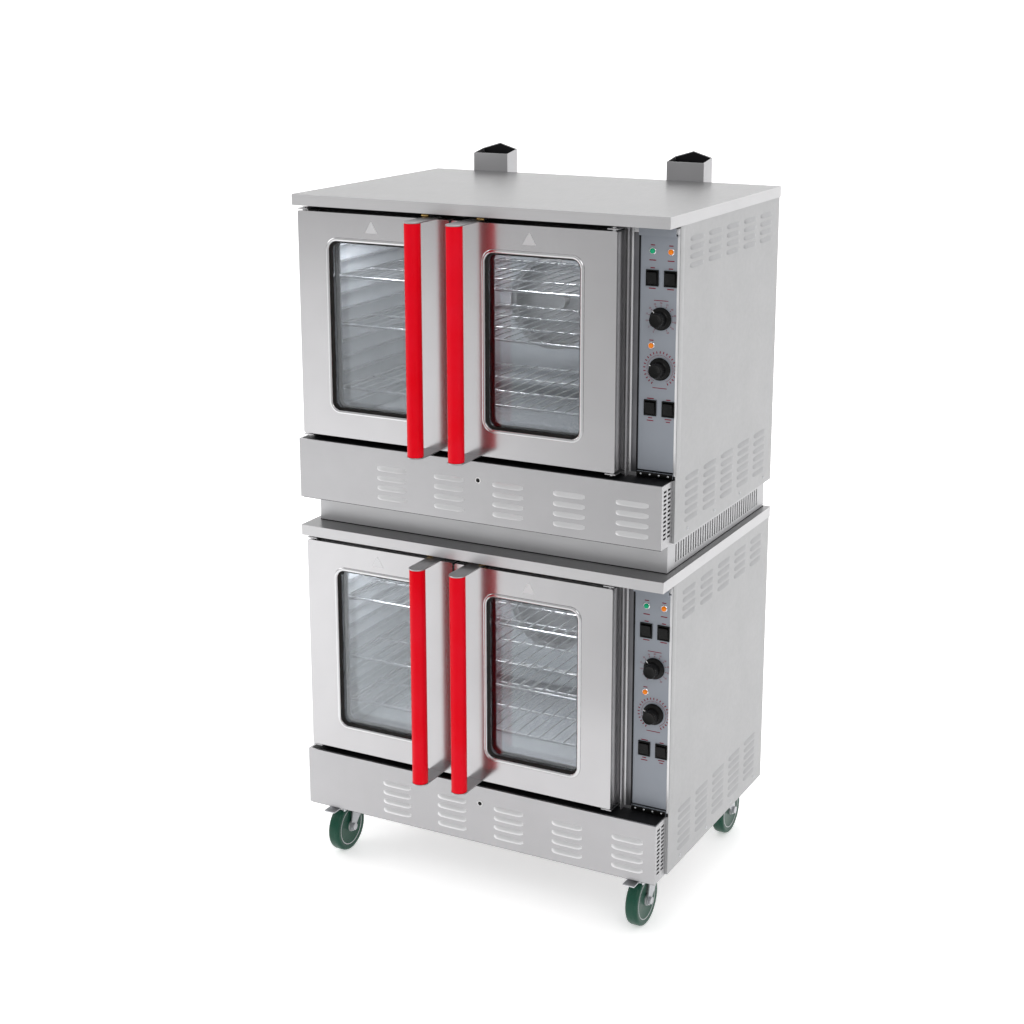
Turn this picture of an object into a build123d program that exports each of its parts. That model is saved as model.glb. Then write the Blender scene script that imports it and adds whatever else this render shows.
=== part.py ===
"""Double-deck gas convection oven on casters.

Millimetres, +Z up. The origin is on the floor under the middle of the oven's box. The oven faces -Y,
and +X is to the right of somebody who faces it. Both decks are alike: each is set out downwards from
its own cover top, backwards from the front edge of the covers and from the middle of the covers.
"""
from build123d import *
from math import cos, radians, sin
import os

os.makedirs("parts", exist_ok=True)

# ---------------------------------------------------------------- driving dimensions
# cutting shapes: how far they run past a face, and the length that goes through one sheet
over = 1
through = 20

# casing
cover_width = 968
cover_depth = 686
cover_lip = 26
cover_corner = 1.8
deck_height = 740
plinth_height = 72
sheet = 1.5
cover_sheet = 2
panel_gap = 0.4
side_inset = 2.7
rear_reach = 60
pan_gap = 3
pan_flange = 22

# doors
doors_margin = 10
doors_width = 830
door_gap = 6
door_height = 540
door_drop = 39
door_setback = 10
door_thickness = 48
door_edge_radius = 4
seal_gap = 4
window_width = 240
window_height = 408
window_radius = 22
bead_width = 8
bead_height = 2
pane_thickness = 4
pane_rebate = 9
pane_clearance = 0.5

# handles
handle_radius = 19
handle_wall = 2
handle_standoff = 76
handle_offset = 54
tongue_margin = 1
tongue_thickness = 3
tongue_grip = 28
tongue_gap = 0.2

# face frame, door hinges and catches
header_height = 3
header_reach = 8
jamb_offset = 8
jamb_width = 3
jamb_reach = 14
frame_gap = 3
weld_gap = 0.1
hinge_inset = 12
hinge_radius = 5
hinge_clearance = 0.06
hinge_stub = 8.5
bracket_thickness = 2.5
bracket_width = 26
bracket_reach = 9
bracket_gap = 3
catch_size = (18, 16, 5)
catch_arm = 4
catch_setback = 20
catch_offset = 72

# cooking chamber
cavity_width = 737
cavity_height = 508
cavity_drop = 55
cavity_rear_space = 84
liner_sheet = 1.5

# wire racks and their guides
guide_pitch = 39
guide_first = 44.5
guide_top_margin = 60
guide_radius = 3
guide_reach = 16
guide_post_gap = 2
guide_post_inset = 40
guide_end_gap = 10
guide_joint_gap = 0.1
guide_rail = 2
guide_overhang = 20
rack_levels = {"upper": (2, 6, 9), "lower": (2, 5, 9)}
rack_rod = 3.2
rack_wire = 1.6
rack_wire_end = 2
rack_brace = 2.8
rack_corner = 14
rack_wires = 21
rack_side_gap = 12
rack_rest_gap = 0.4
rack_front_gap = 24
rack_rear_gap = 18

# fan, motor and baffle
fan_radius = 150
fan_width = 52
fan_blades = 24
fan_plate = 2
fan_gap = 14
blade_length = 37.5
blade_sheet = 1.5
blade_inset = 21
fan_ring_width = 42
fan_hub_radius = 20
fan_hub = 28
shaft_radius = 7
shaft_clearance = 0.06
shaft_end = 60
shaft_start = 24
motor_radius = 66
motor_flange = 14
motor_flange_sheet = 4
motor_bore = 65
motor_hole_gap = 4
baffle_width = 610
baffle_height = 430
baffle_inlet = 118
baffle_gap = 12
spacer_radius = 5
spacer_inset = 12
spacer_gap = 0.1

# control panel
control_left_gap = 33
control_right_gap = 3.5
control_shift = 4
control_drop = 50
control_height = 525
trim_gap = 1
trim_reach = 12
control_bar = 11
control_bar_gap = 4
control_bar_reach = 4
lamp_radius = 8
lamp_rim = 1.8
lamp_reach = 7
lamp_lens_inset = 1.5
lamp_lens_taper = 2
lamp_hole_inset = 2
lamp_clearance = 0.2
lamp_body = 16.4
lamp_drop = 83
heat_lamp_drop = 292
column_pitch = 43
switch_width = 30
switch_height = 36
switch_bezel = 3
switch_reach = 4
switch_clearance = 0.5
switch_end_gap = 1.5
switch_tilt = 9
switch_body = 24
switch_body_inset = 2.5
switch_body_clearance = 0.5
switch_pocket = 22
switch_gap = 0.1
paddle_root = 2
upper_switch_drop = 142
lower_switch_drop = 432
timer_drop = 231
thermostat_drop = 343
knob_gap = 1
knob_radius = 25.5
knob_skirt = 6
knob_length = 30
knob_body = 10
knob_grip_radius = 17
knob_grip_end = 2
knob_grip_width = 11
knob_grip_turn = 125
spindle_radius = 3
spindle_reach = 14
spindle_clearance = 1

# louvred front panel
front_panel_drop = 593
front_panel_setback = 3
front_panel_right_gap = 9
louvre_length = 78
louvre_height = 7
front_groups = 5
front_group_pitch = 156.5
front_group_centre = 91
front_rows = 4
front_row_pitch = 23.8
front_row_drop = 84.5
sight_radius = 7
sight_drop = 43
sight_offset = 13
side_slot_length = 15
side_slot_height = 5
side_slot_rows = 12
side_slot_pitch = 9.8
side_slot_columns = 2
side_slot_spacing = 23.5
side_slot_lift = 4

# louvred side and back panels
side_flange = 14
side_column_pitch = 108.5
side_column_first = 160
side_column_margin = 30
side_row_pitch = 19.6
side_top_rows = 4
side_top_drop = 61
side_low_rows = 6
side_low_drop = 602
back_columns = 3
screw_radius = 4
screw_head = 1.6
screw_gap = 0.4
screw_first = 138
screw_pitch = 165
screw_margin = 30
screw_drop = 723

# stacking plinth
plinth_inset = 18
plinth_setback = 61
plinth_rear_gap = 7
plinth_slot_pitch = 14.8
plinth_slot_margin = 46
plinth_slot_width = 6
plinth_slot_height = 44

# flues
flue_width = 100
flue_depth = 55
flue_sheet = 1.5
flue_rise = 46
flue_slope = 9
flue_peak = 15
flue_left = -323
flue_right = 230
flue_root_drop = 150
flue_port = 60
flue_port_edge = 5

# gas supply
burner_radius = 22
burner_count = 4
burner_pitch = 150
burner_drop = 640
burner_front_gap = 30
burner_rear_gap = 80
burner_joint_gap = 0.1
manifold_radius = 13
manifold_end = 30
elbow_size = 22
elbow_offset = 24
inlet_radius = 13.35
inlet_sleeve = 1.5
inlet_thread = 40
inlet_end_gap = 10
inlet_hole_gap = 4
inlet_inset = 84
inlet_drop = 676
gland_radius = 11
gland_root = 2
gland_reach = 12
gland_inset = 44
gland_drop = 620

# casters
wheel_radius = 63.5
wheel_width = 32
wheel_core = 48
wheel_core_lap = 0.2
wheel_dish = 4
wheel_edge = 4
wheel_hub = 14
wheel_side_gap = 0.5
axle_radius = 6
axle_clearance = 0.05
axle_head_radius = 9
axle_head = 5
axle_head_gap = 0.5
caster_inset = 68.4
caster_front = 100
caster_rear = 112
caster_trail = 36
caster_plate = (95, 100, 4)
caster_sheet = 3
swivel_gap = 3
swivel_radius = 34
fork_gap = 3
leg_heel = 26
leg_toe = 30
leg_eye = 12
leg_drop = 14
king_radius = 9
king_clearance = 0.06
king_end_gap = 0.5
pedal_width = 30
pedal_length = 44
pedal_sheet = 3
pedal_sleeve = 6
pedal_pin = 3
pedal_clearance = 0.05
pedal_reach = 34
pedal_ear = 20

# ---------------------------------------------------------------- derived places
handle_front = handle_standoff + handle_radius + tongue_margin - door_setback
overall_depth = handle_front + cover_depth + rear_reach
front = handle_front - overall_depth / 2
back = front + cover_depth
fork_high = 2 * wheel_radius + fork_gap + caster_sheet
caster_height = fork_high + swivel_gap + caster_plate[2]
lower_top = caster_height + deck_height
upper_top = lower_top + plinth_height + deck_height
decks = {"upper": upper_top, "lower": lower_top}

door_front = front + door_setback
door_back = door_front + door_thickness
face = door_back + seal_gap
doors_left = -cover_width / 2 + doors_margin
doors_middle = doors_left + doors_width / 2
doors_right = doors_left + doors_width
door_width = (doors_width - door_gap) / 2
door_centres = {"left": doors_left + door_width / 2, "right": doors_right - door_width / 2}
hinge_x = {"left": doors_left + hinge_inset, "right": doors_right - hinge_inset}
hinge_y = door_front + hinge_inset
side_x = cover_width / 2 - side_inset
inner_x = side_x - sheet
inner_back = back - sheet
frame_x = inner_x - side_flange - panel_gap

handle_y = door_front - handle_standoff
control_left = doors_right + control_left_gap
control_right = inner_x - control_right_gap
control_x = (control_left + side_x) / 2 + control_shift
column_x = (control_x - column_pitch / 2, control_x + column_pitch / 2)

cavity_back = back - cavity_rear_space
guide_positions = int((cavity_height - guide_first - guide_top_margin) / guide_pitch) + 1
guide_x = cavity_width / 2 - guide_post_gap - guide_radius
rack_half = cavity_width / 2 - rack_side_gap - rack_rod
fan_y = cavity_back - fan_gap - fan_width
baffle_y = fan_y - baffle_gap
rack_front = face + rack_front_gap
rack_depth = baffle_y - rack_rear_gap - rack_front
burner_front = face + burner_front_gap
burner_length = cavity_back - burner_rear_gap - burner_front
inlet_x = cover_width / 2 - inlet_inset
gland_x = cover_width / 2 - gland_inset

side_room = cover_depth - side_column_first - louvre_length / 2 - side_column_margin
side_columns = int(side_room / side_column_pitch) + 1
screw_count = int((cover_depth - screw_first - screw_margin) / screw_pitch) + 1
plinth_length = cover_depth - plinth_setback - plinth_rear_gap
plinth_slots = int((plinth_length - 2 * plinth_slot_margin) / plinth_slot_pitch) + 1


# ---------------------------------------------------------------- shared shapes
def block(x, y, z, mode=Mode.ADD):
    """A box between two limits on each axis, in the open BuildPart."""
    with Locations(((x[0] + x[1]) / 2, (y[0] + y[1]) / 2, (z[0] + z[1]) / 2)):
        Box(abs(x[1] - x[0]), abs(y[1] - y[0]), abs(z[1] - z[0]), mode=mode)


def rod(centre, radius, length, turn=(0, 0, 0), mode=Mode.ADD):
    """A round bar about its centre, upright unless turned, in the open BuildPart."""
    with Locations(Location(centre, turn)):
        Cylinder(radius, length, mode=mode)


def save(builder, name):
    """Label one finished piece and write it."""
    builder.part.label = name
    export_step(builder.part, f"parts/{name}.step")


ALONG_X = (0, 90, 0)
ALONG_Y = (90, 0, 0)


# ---------------------------------------------------------------- casing
def cover(top):
    """Folded cover with a lip all round, in the open BuildPart."""
    half = cover_width / 2
    block((-half, half), (front, back), (top - cover_lip, top))
    block(
        (-half + cover_sheet, half - cover_sheet),
        (front + cover_sheet, back - cover_sheet),
        (top - cover_lip, top - cover_sheet),
        Mode.SUBTRACT,
    )


with BuildPart() as top_covers:
    for top in decks.values():
        cover(top)
    upright = top_covers.edges().filter_by(Axis.Z)
    outer = upright.filter_by(lambda e: abs(e.center().X) > cover_width / 2 - over)
    fillet(outer, cover_corner)
save(top_covers, "top_covers")


def side_panel(side, top):
    """Side sheet with folded edges and two groups of louvre slots, in the open BuildPart."""
    outer = side * side_x
    inner = side * inner_x
    flange = side * (side_x - side_flange)
    low, high = top - deck_height + sheet, top - cover_sheet - panel_gap
    start, end = face, back - cover_sheet - panel_gap
    block(sorted((inner, outer)), (start, end), (low, high))
    block(sorted((flange, inner)), (start, start + sheet), (low, top - front_panel_drop - panel_gap))
    block(sorted((flange, inner)), (end - sheet, end), (low, high))
    middle = front + side_column_first + (side_columns - 1) * side_column_pitch / 2
    for drop, rows in ((side_top_drop, side_top_rows), (side_low_drop, side_low_rows)):
        level = top - drop - (rows - 1) * side_row_pitch / 2
        with BuildSketch(Plane.YZ.offset(min(inner, outer) - over)) as slots:
            with Locations((middle, level)):
                with GridLocations(side_column_pitch, side_row_pitch, side_columns, rows):
                    SlotOverall(louvre_length, louvre_height)
        extrude(slots.sketch, amount=sheet + 2 * over, mode=Mode.SUBTRACT)


with BuildPart() as side_panels:
    for top in decks.values():
        for side in (-1, 1):
            side_panel(side, top)
save(side_panels, "side_panels")

with BuildPart() as back_panels:
    for top in decks.values():
        flue_x = flue_right if top == upper_top else flue_left
        middle_z = top - cavity_drop - cavity_height / 2
        gland_y = back + (gland_reach - gland_root) / 2
        low, high = top - deck_height + sheet, top - cover_lip - panel_gap
        block((-frame_x, frame_x), (inner_back, back), (low, high))
        rod((doors_middle, back, middle_z), motor_radius + motor_hole_gap, through, ALONG_Y, Mode.SUBTRACT)
        rod((inlet_x, back, top - inlet_drop), inlet_radius + inlet_hole_gap, through, ALONG_Y, Mode.SUBTRACT)
        rod((gland_x, gland_y, top - gland_drop), gland_radius, gland_reach + gland_root, ALONG_Y)
        rod((gland_x, gland_y, top - gland_drop), gland_radius / 2, 2 * through, ALONG_Y, Mode.SUBTRACT)
        port_z = top - flue_root_drop + flue_port / 2 + flue_sheet
        with Locations((flue_x, back, port_z)):
            Box(flue_width - 2 * flue_port_edge, through, flue_port - 2 * flue_port_edge, mode=Mode.SUBTRACT)
        with BuildSketch(Plane.XZ.offset(-back - over)):
            with Locations((doors_middle, top - side_low_drop - (side_low_rows - 1) / 2 * side_row_pitch)):
                with GridLocations(side_column_pitch, side_row_pitch, back_columns, side_low_rows):
                    SlotOverall(louvre_length, louvre_height)
        extrude(amount=sheet + 2 * over, mode=Mode.SUBTRACT)
save(back_panels, "back_panels")


def front_panel(top):
    """Louvred box panel under the doors, open at its back, in the open BuildPart."""
    left, right = -cover_width / 2, cover_width / 2 - front_panel_right_gap
    face_y, rear_y = front + front_panel_setback, face - panel_gap
    low, high = top - deck_height, top - front_panel_drop
    block((left, right), (face_y, rear_y), (low, high))
    block(
        (left + sheet, right - sheet),
        (face_y + sheet, rear_y + over),
        (low + sheet, high - sheet),
        Mode.SUBTRACT,
    )
    level = high - front_row_drop
    with BuildSketch(Plane.XZ.offset(-face_y - sheet - over)) as slots:
        with Locations((front_group_centre, level)):
            with GridLocations(front_group_pitch, front_row_pitch, front_groups, front_rows):
                SlotOverall(louvre_length, louvre_height)
        with Locations((sight_offset, high - sight_drop)):
            Circle(sight_radius)
    extrude(slots.sketch, amount=sheet + 2 * over, mode=Mode.SUBTRACT)
    slots_y = (face_y + rear_y) / 2
    slots_z = (low + high) / 2 + side_slot_lift
    with BuildSketch(Plane.YZ.offset(left - over)) as side_slots:
        with Locations((slots_y, slots_z)):
            with GridLocations(side_slot_spacing, side_slot_pitch, side_slot_columns, side_slot_rows):
                Rectangle(side_slot_length, side_slot_height)
    extrude(side_slots.sketch, amount=right - left + 2 * over, mode=Mode.SUBTRACT)


with BuildPart() as front_panels:
    for top in decks.values():
        front_panel(top)
save(front_panels, "front_panels")

with BuildPart() as base_pans:
    for top in decks.values():
        low = top - deck_height + sheet + panel_gap
        start, end = face + pan_gap, inner_back - panel_gap
        block((-frame_x, frame_x), (start, end), (low, low + sheet))
        for edge in (start, end - sheet):
            block((-frame_x, frame_x), (edge, edge + sheet), (low, low + pan_flange))
save(base_pans, "base_pans")

with BuildPart() as stacking_plinth:
    start, end = front + plinth_setback, back - plinth_rear_gap
    half, wall = cover_width / 2 - plinth_inset, cover_sheet
    levels = (lower_top, lower_top + plinth_height)
    for y in (start, end - wall):
        block((-half, half), (y, y + wall), levels)
    for x in (-half, half - wall):
        block((x, x + wall), (start + wall + panel_gap, end - wall - panel_gap), levels)
    with BuildSketch(Plane.YZ.offset(-half - over)):
        with Locations(((start + end) / 2, lower_top + plinth_height / 2)):
            with GridLocations(plinth_slot_pitch, 1, plinth_slots, 1):
                SlotOverall(plinth_slot_height, plinth_slot_width, rotation=90)
    extrude(amount=2 * (half + over), mode=Mode.SUBTRACT)
save(stacking_plinth, "stacking_plinth")


# ---------------------------------------------------------------- face frames, hinges and catches
def hinge_levels(top):
    """Heights of the undersides of a door's upper and lower hinge plates."""
    door_top = top - door_drop
    return door_top + bracket_gap, door_top - door_height - bracket_gap - bracket_thickness


with BuildPart() as face_frames:
    for top in decks.values():
        cavity_top = top - cavity_drop
        cavity_low = cavity_top - cavity_height
        cavity_left, cavity_right = doors_middle - cavity_width / 2, doors_middle + cavity_width / 2
        low, high = top - front_panel_drop, top - cover_sheet - panel_gap
        header = top - cover_lip - header_height
        end = control_left - frame_gap
        jamb = doors_right + jamb_offset
        catch_y = door_front + catch_setback
        weld = face - weld_gap
        block((-frame_x, cavity_left), (face, face + sheet), (low, high))
        block((cavity_right, end), (face, face + sheet), (low, high))
        for strip in ((cavity_top, high), (low, cavity_low)):
            block((cavity_left + weld_gap, cavity_right - weld_gap), (face, face + sheet), strip)
        block((-frame_x, end), (face - header_reach, weld), (header, header + header_height))
        block((jamb, jamb + jamb_width), (face - jamb_reach, weld), (low, header - weld_gap))
        for offset in (-catch_offset, catch_offset):
            x = doors_middle + offset
            arm_end = face - header_reach - weld_gap
            arm = (x - catch_arm / 2, x + catch_arm / 2)
            block(arm, (catch_y, arm_end), (header, header + header_height))
            block(
                (x - catch_size[0] / 2, x + catch_size[0] / 2),
                (catch_y, catch_y + catch_size[1]),
                (header - catch_size[2], header),
            )
        for x in hinge_x.values():
            for level in hinge_levels(top):
                block(
                    (x - bracket_width / 2, x + bracket_width / 2),
                    (hinge_y - bracket_reach, weld),
                    (level, level + bracket_thickness),
                )
                rod((x, hinge_y, level), hinge_radius + hinge_clearance, through, mode=Mode.SUBTRACT)
save(face_frames, "face_frames")


# ---------------------------------------------------------------- doors, windows and handles
def cavity_level(top):
    """Height of the middle of a deck's cooking chamber, which is the middle of its doors too."""
    return top - door_drop - door_height / 2


def make_door(side, top):
    """Outer pressing with a window tunnel and two hinge stubs, and the flat inner sheet that closes it."""
    x, z = door_centres[side], cavity_level(top)
    half_w, half_h = door_width / 2, door_height / 2
    win_w, win_h = window_width / 2, window_height / 2
    wall = sheet
    with BuildPart() as door:
        with BuildSketch(Plane.XZ.offset(-door_back)) as outline:
            with Locations((x, z)):
                RectangleRounded(door_width, door_height, door_edge_radius)
        extrude(outline.sketch, amount=door_thickness)
        block(
            (x - half_w + wall, x + half_w - wall),
            (door_front + wall, door_back + over),
            (z - half_h + wall, z + half_h - wall),
            Mode.SUBTRACT,
        )
        with BuildSketch(Plane.XZ.offset(-door_back + wall + panel_gap)) as tunnel:
            with Locations((x, z)):
                RectangleRounded(window_width + 2 * wall, window_height + 2 * wall, window_radius + wall)
        extrude(tunnel.sketch, amount=door_thickness - wall - panel_gap)
        with BuildSketch(Plane.XZ.offset(-door_front)) as bead:
            with Locations((x, z)):
                RectangleRounded(
                    window_width + 2 * bead_width, window_height + 2 * bead_width, window_radius + bead_width
                )
        extrude(bead.sketch, amount=bead_height)
        with BuildSketch(Plane.XZ.offset(-door_back - over)) as window:
            with Locations((x, z)):
                RectangleRounded(window_width, window_height, window_radius)
        extrude(window.sketch, amount=door_thickness + bead_height + 2 * over, mode=Mode.SUBTRACT)
        for end in (-1, 1):
            stub_z = z + end * (half_h + hinge_stub / 2 - wall / 2)
            rod((hinge_x[side], hinge_y, stub_z), hinge_radius, hinge_stub + wall)
        inset = wall + panel_gap
        block(
            (x - half_w + inset, x + half_w - inset),
            (door_back - wall, door_back),
            (z - half_h + inset, z + half_h - inset),
        )
        with BuildSketch(Plane.XZ.offset(-door_back - over)) as inner_window:
            with Locations((x, z)):
                RectangleRounded(window_width, window_height, window_radius)
        extrude(inner_window.sketch, amount=wall + 2 * over, mode=Mode.SUBTRACT)
    return door


def make_glass(side, top):
    """Two flat panes that stand inside the window tunnel, with a spacer rim between them."""
    x, z = door_centres[side], cavity_level(top)
    width = window_width - 2 * pane_clearance
    height = window_height - 2 * pane_clearance
    with BuildPart() as glass:
        for start in (door_front + pane_rebate, door_back - pane_rebate - pane_thickness):
            with BuildSketch(Plane.XZ.offset(-start - pane_thickness)) as pane:
                with Locations((x, z)):
                    RectangleRounded(width, height, window_radius - pane_clearance)
            extrude(pane.sketch, amount=pane_thickness)
    return glass


def make_handle(side, top):
    """Round tube in front of the door's free edge, between two flat tongues over the door's ends."""
    outward = 1 if side == "right" else -1
    x, z = doors_middle + outward * handle_offset, cavity_level(top)
    half = door_height / 2
    radius = handle_radius + tongue_margin
    grip = door_front + tongue_grip
    with BuildPart() as handle:
        rod((x, handle_y, z), handle_radius, door_height - 2 * tongue_gap)
        rod((x, handle_y, z), handle_radius - handle_wall, door_height, mode=Mode.SUBTRACT)
        for low in (z + half, z - half - tongue_thickness):
            with BuildSketch(Plane.XY.offset(low)) as tongue:
                with Locations((x, handle_y)):
                    Circle(radius)
                with Locations((x, (handle_y + grip) / 2)):
                    Rectangle(2 * radius, grip - handle_y)
            extrude(tongue.sketch, amount=tongue_thickness)
    return handle


for deck, top in decks.items():
    for side in door_centres:
        save(make_door(side, top), f"{deck}_{side}_door")
        save(make_glass(side, top), f"{deck}_{side}_glass")
        save(make_handle(side, top), f"{deck}_{side}_handle")


# ---------------------------------------------------------------- cooking chambers
with BuildPart() as cavity_liners:
    for top in decks.values():
        z = top - cavity_drop - cavity_height / 2
        half_w, half_h = cavity_width / 2, cavity_height / 2
        wall, gap = liner_sheet, panel_gap
        start, end = face + sheet + gap, cavity_back
        for side in (-1, 1):
            x = doors_middle + side * half_w
            block(sorted((x, x + side * wall)), (start, end), (z - half_h, z + half_h))
            level = z + side * (half_h + gap)
            block(
                (doors_middle - half_w - wall, doors_middle + half_w + wall),
                (start, end),
                sorted((level, level + side * wall)),
            )
        block(
            (doors_middle - half_w - wall, doors_middle + half_w + wall),
            (end + gap, end + gap + wall),
            (z - half_h - wall, z + half_h + wall),
        )
        rod((doors_middle, end, z), motor_radius / 2, through, ALONG_Y, Mode.SUBTRACT)
save(cavity_liners, "cavity_liners")

with BuildPart() as rack_guides:
    for top in decks.values():
        z = top - cavity_drop - cavity_height
        for side in (-1, 1):
            x = doors_middle + side * guide_x
            posts = (face + guide_post_inset, baffle_y - guide_post_inset)
            for y in posts:
                rod((x, y, z + cavity_height / 2), guide_radius, cavity_height - 2 * guide_end_gap)
            rail = x - side * (guide_radius + guide_joint_gap)
            for step in range(guide_positions):
                level = z + guide_first + step * guide_pitch
                block(
                    sorted((rail, rail - side * guide_reach)),
                    (posts[0] - guide_overhang, posts[1] + guide_overhang),
                    (level - guide_rail / 2, level + guide_rail / 2),
                )
save(rack_guides, "rack_guides")


def rack_level(top, position):
    """Height of the middle of a rack's frame rods, for the guide it rests on."""
    rail = top - cavity_drop - cavity_height + guide_first + (position - 1) * guide_pitch
    return rail + guide_rail / 2 + rack_rest_gap + rack_rod


def make_rack(top, position):
    """Chromed wire rack: a rod frame, two cross rods, and thinner wires that run front to back."""
    z = rack_level(top, position)
    middle = rack_front + rack_depth / 2
    with BuildPart() as rack:
        with BuildLine(Plane((doors_middle, middle, z))) as rim:
            Polyline(
                (0, -rack_depth / 2), (rack_half, -rack_depth / 2), (rack_half, rack_depth / 2),
                (-rack_half, rack_depth / 2), (-rack_half, -rack_depth / 2), close=True,
            )
            fillet(rim.vertices(), rack_corner)
        start = Plane((doors_middle, middle - rack_depth / 2, z), x_dir=(0, 1, 0), z_dir=(1, 0, 0))
        with BuildSketch(start) as bar:
            Circle(rack_rod)
        sweep(bar.sketch, path=rim.wires()[0])
        for side in (-1, 1):
            rod((doors_middle, middle + side * rack_depth / 6, z), rack_brace, 2 * rack_half, ALONG_X)
        pitch = 2 * rack_half / (rack_wires + 1)
        for number in range(rack_wires):
            x = doors_middle - rack_half + (number + 1) * pitch
            rod((x, middle, z + rack_rod + rack_wire / 2), rack_wire, rack_depth + 2 * rack_wire_end, ALONG_Y)
    return rack


rack_names = ("bottom", "middle", "top")
for deck, top in decks.items():
    for name, position in zip(rack_names, rack_levels[deck]):
        save(make_rack(top, position), f"{deck}_{name}_rack")

with BuildPart() as fan_baffles:
    for top in decks.values():
        z = top - cavity_drop - cavity_height / 2
        half_w, half_h = baffle_width / 2, baffle_height / 2
        across = (doors_middle - half_w, doors_middle + half_w)
        block(across, (baffle_y, baffle_y + sheet), (z - half_h, z + half_h))
        rod((doors_middle, baffle_y, z), baffle_inlet, through, ALONG_Y, Mode.SUBTRACT)
        for side in (-1, 1):
            for end in (-1, 1):
                start = baffle_y + sheet + spacer_gap
                x, y = doors_middle + side * (half_w - spacer_inset), (start + cavity_back) / 2
                rod((x, y, z + end * (half_h - spacer_inset)), spacer_radius, cavity_back - start, ALONG_Y)
save(fan_baffles, "fan_baffles")


def make_fan(top):
    """Radial blower: a back plate and a front ring that hold straight blades, on the motor's shaft."""
    z = top - cavity_drop - cavity_height / 2
    end = fan_y + fan_width
    shaft = (end - shaft_start, cavity_back + shaft_end)
    with BuildPart() as fan:
        rod((doors_middle, end - fan_plate / 2, z), fan_radius, fan_plate, ALONG_Y)
        rod((doors_middle, fan_y + fan_plate / 2, z), fan_radius, fan_plate, ALONG_Y)
        ring_hole = fan_radius - fan_ring_width
        rod((doors_middle, fan_y + fan_plate / 2, z), ring_hole, fan_plate + 2 * over, ALONG_Y, Mode.SUBTRACT)
        with BuildSketch(Plane.XZ.offset(-end + fan_plate / 2)) as blades:
            with Locations((doors_middle, z)):
                with PolarLocations(fan_radius - blade_inset, fan_blades):
                    Rectangle(blade_length, blade_sheet)
        extrude(blades.sketch, amount=fan_width - fan_plate)
        rod((doors_middle, end - fan_hub / 2, z), fan_hub_radius, fan_hub, ALONG_Y)
        rod((doors_middle, (shaft[0] + shaft[1]) / 2, z), shaft_radius, shaft[1] - shaft[0], ALONG_Y)
    return fan


for deck, top in decks.items():
    save(make_fan(top), f"{deck}_fan")

with BuildPart() as fan_motors:
    for top in decks.values():
        z = top - cavity_drop - cavity_height / 2
        start = cavity_back + panel_gap + liner_sheet + panel_gap
        end = back + rear_reach
        flange_y = start + motor_flange_sheet / 2
        rod((doors_middle, flange_y, z), motor_radius + motor_flange, motor_flange_sheet, ALONG_Y)
        rod((doors_middle, (start + end) / 2, z), motor_radius, end - start, ALONG_Y)
        rod((doors_middle, start, z), shaft_radius + shaft_clearance, 2 * motor_bore, ALONG_Y, Mode.SUBTRACT)
save(fan_motors, "fan_motors")


# ---------------------------------------------------------------- burners and flues
with BuildPart() as gas_burners:
    for top in decks.values():
        level, inlet_z = top - burner_drop, top - inlet_drop
        width = (burner_count - 1) * burner_pitch
        half = elbow_size / 2
        for number in range(burner_count):
            x = doors_middle - width / 2 + number * burner_pitch
            rod((x, burner_front + burner_length / 2, level), burner_radius, burner_length, ALONG_Y)
        pipe_y = burner_front + burner_length + burner_joint_gap + manifold_radius
        rod((doors_middle, pipe_y, level), manifold_radius, width + 2 * manifold_end, ALONG_X)
        elbow_x = doors_middle + width / 2 + elbow_offset
        elbow_y = pipe_y + manifold_radius + burner_joint_gap
        elbow = (elbow_y, elbow_y + elbow_size)
        block((elbow_x - half, elbow_x + half), elbow, (inlet_z - half, level + half))
        branch = elbow_x + half + burner_joint_gap
        block((branch, inlet_x + half), elbow, (inlet_z - half, inlet_z + half))
        start = elbow_y + elbow_size + burner_joint_gap
        end = back + rear_reach - inlet_end_gap - inlet_thread
        rod((inlet_x, (start + end) / 2, inlet_z), inlet_radius + inlet_sleeve, end - start, ALONG_Y)
        rod((inlet_x, end + inlet_thread / 2, inlet_z), inlet_radius, inlet_thread, ALONG_Y)
save(gas_burners, "gas_burners")

with BuildPart() as flue_risers:
    for x, low in ((flue_right, upper_top - flue_root_drop), (flue_left, lower_top - flue_root_drop)):
        rim = upper_top + flue_rise
        shoulder = rim + flue_slope
        peak = shoulder + flue_peak
        start, end = back + panel_gap, back + panel_gap + flue_depth
        half = flue_width / 2
        block((x - half, x + half), (start, end), (low, peak))
        block(
            (x - half + flue_sheet, x + half - flue_sheet),
            (start + flue_sheet, end - flue_sheet),
            (low + flue_sheet, peak + over),
            Mode.SUBTRACT,
        )
        with BuildSketch(Plane.YZ.offset(x - half - over)) as slope:
            with BuildLine():
                Polyline(
                    (start - over, rim), (end - flue_sheet, shoulder), (end - flue_sheet, peak + over),
                    (start - over, peak + over), close=True,
                )
            make_face()
        extrude(slope.sketch, amount=flue_width + 2 * over, mode=Mode.SUBTRACT)
        with BuildSketch(Plane.XZ.offset(-end - over)) as gable:
            with BuildLine():
                Polyline(
                    (x - half, shoulder), (x, peak), (x + half, shoulder),
                    (x + half + over, shoulder), (x + half + over, peak + over),
                    (x - half - over, peak + over), (x - half - over, shoulder), close=True,
                )
            make_face()
        extrude(gable.sketch, amount=flue_depth + 2 * over, mode=Mode.SUBTRACT)
        port = (flue_width - 2 * flue_port_edge, through / 2, flue_port - 2 * flue_port_edge)
        with Locations((x, start, low + flue_sheet + flue_port / 2)):
            Box(*port, mode=Mode.SUBTRACT)
save(flue_risers, "flue_risers")


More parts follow.
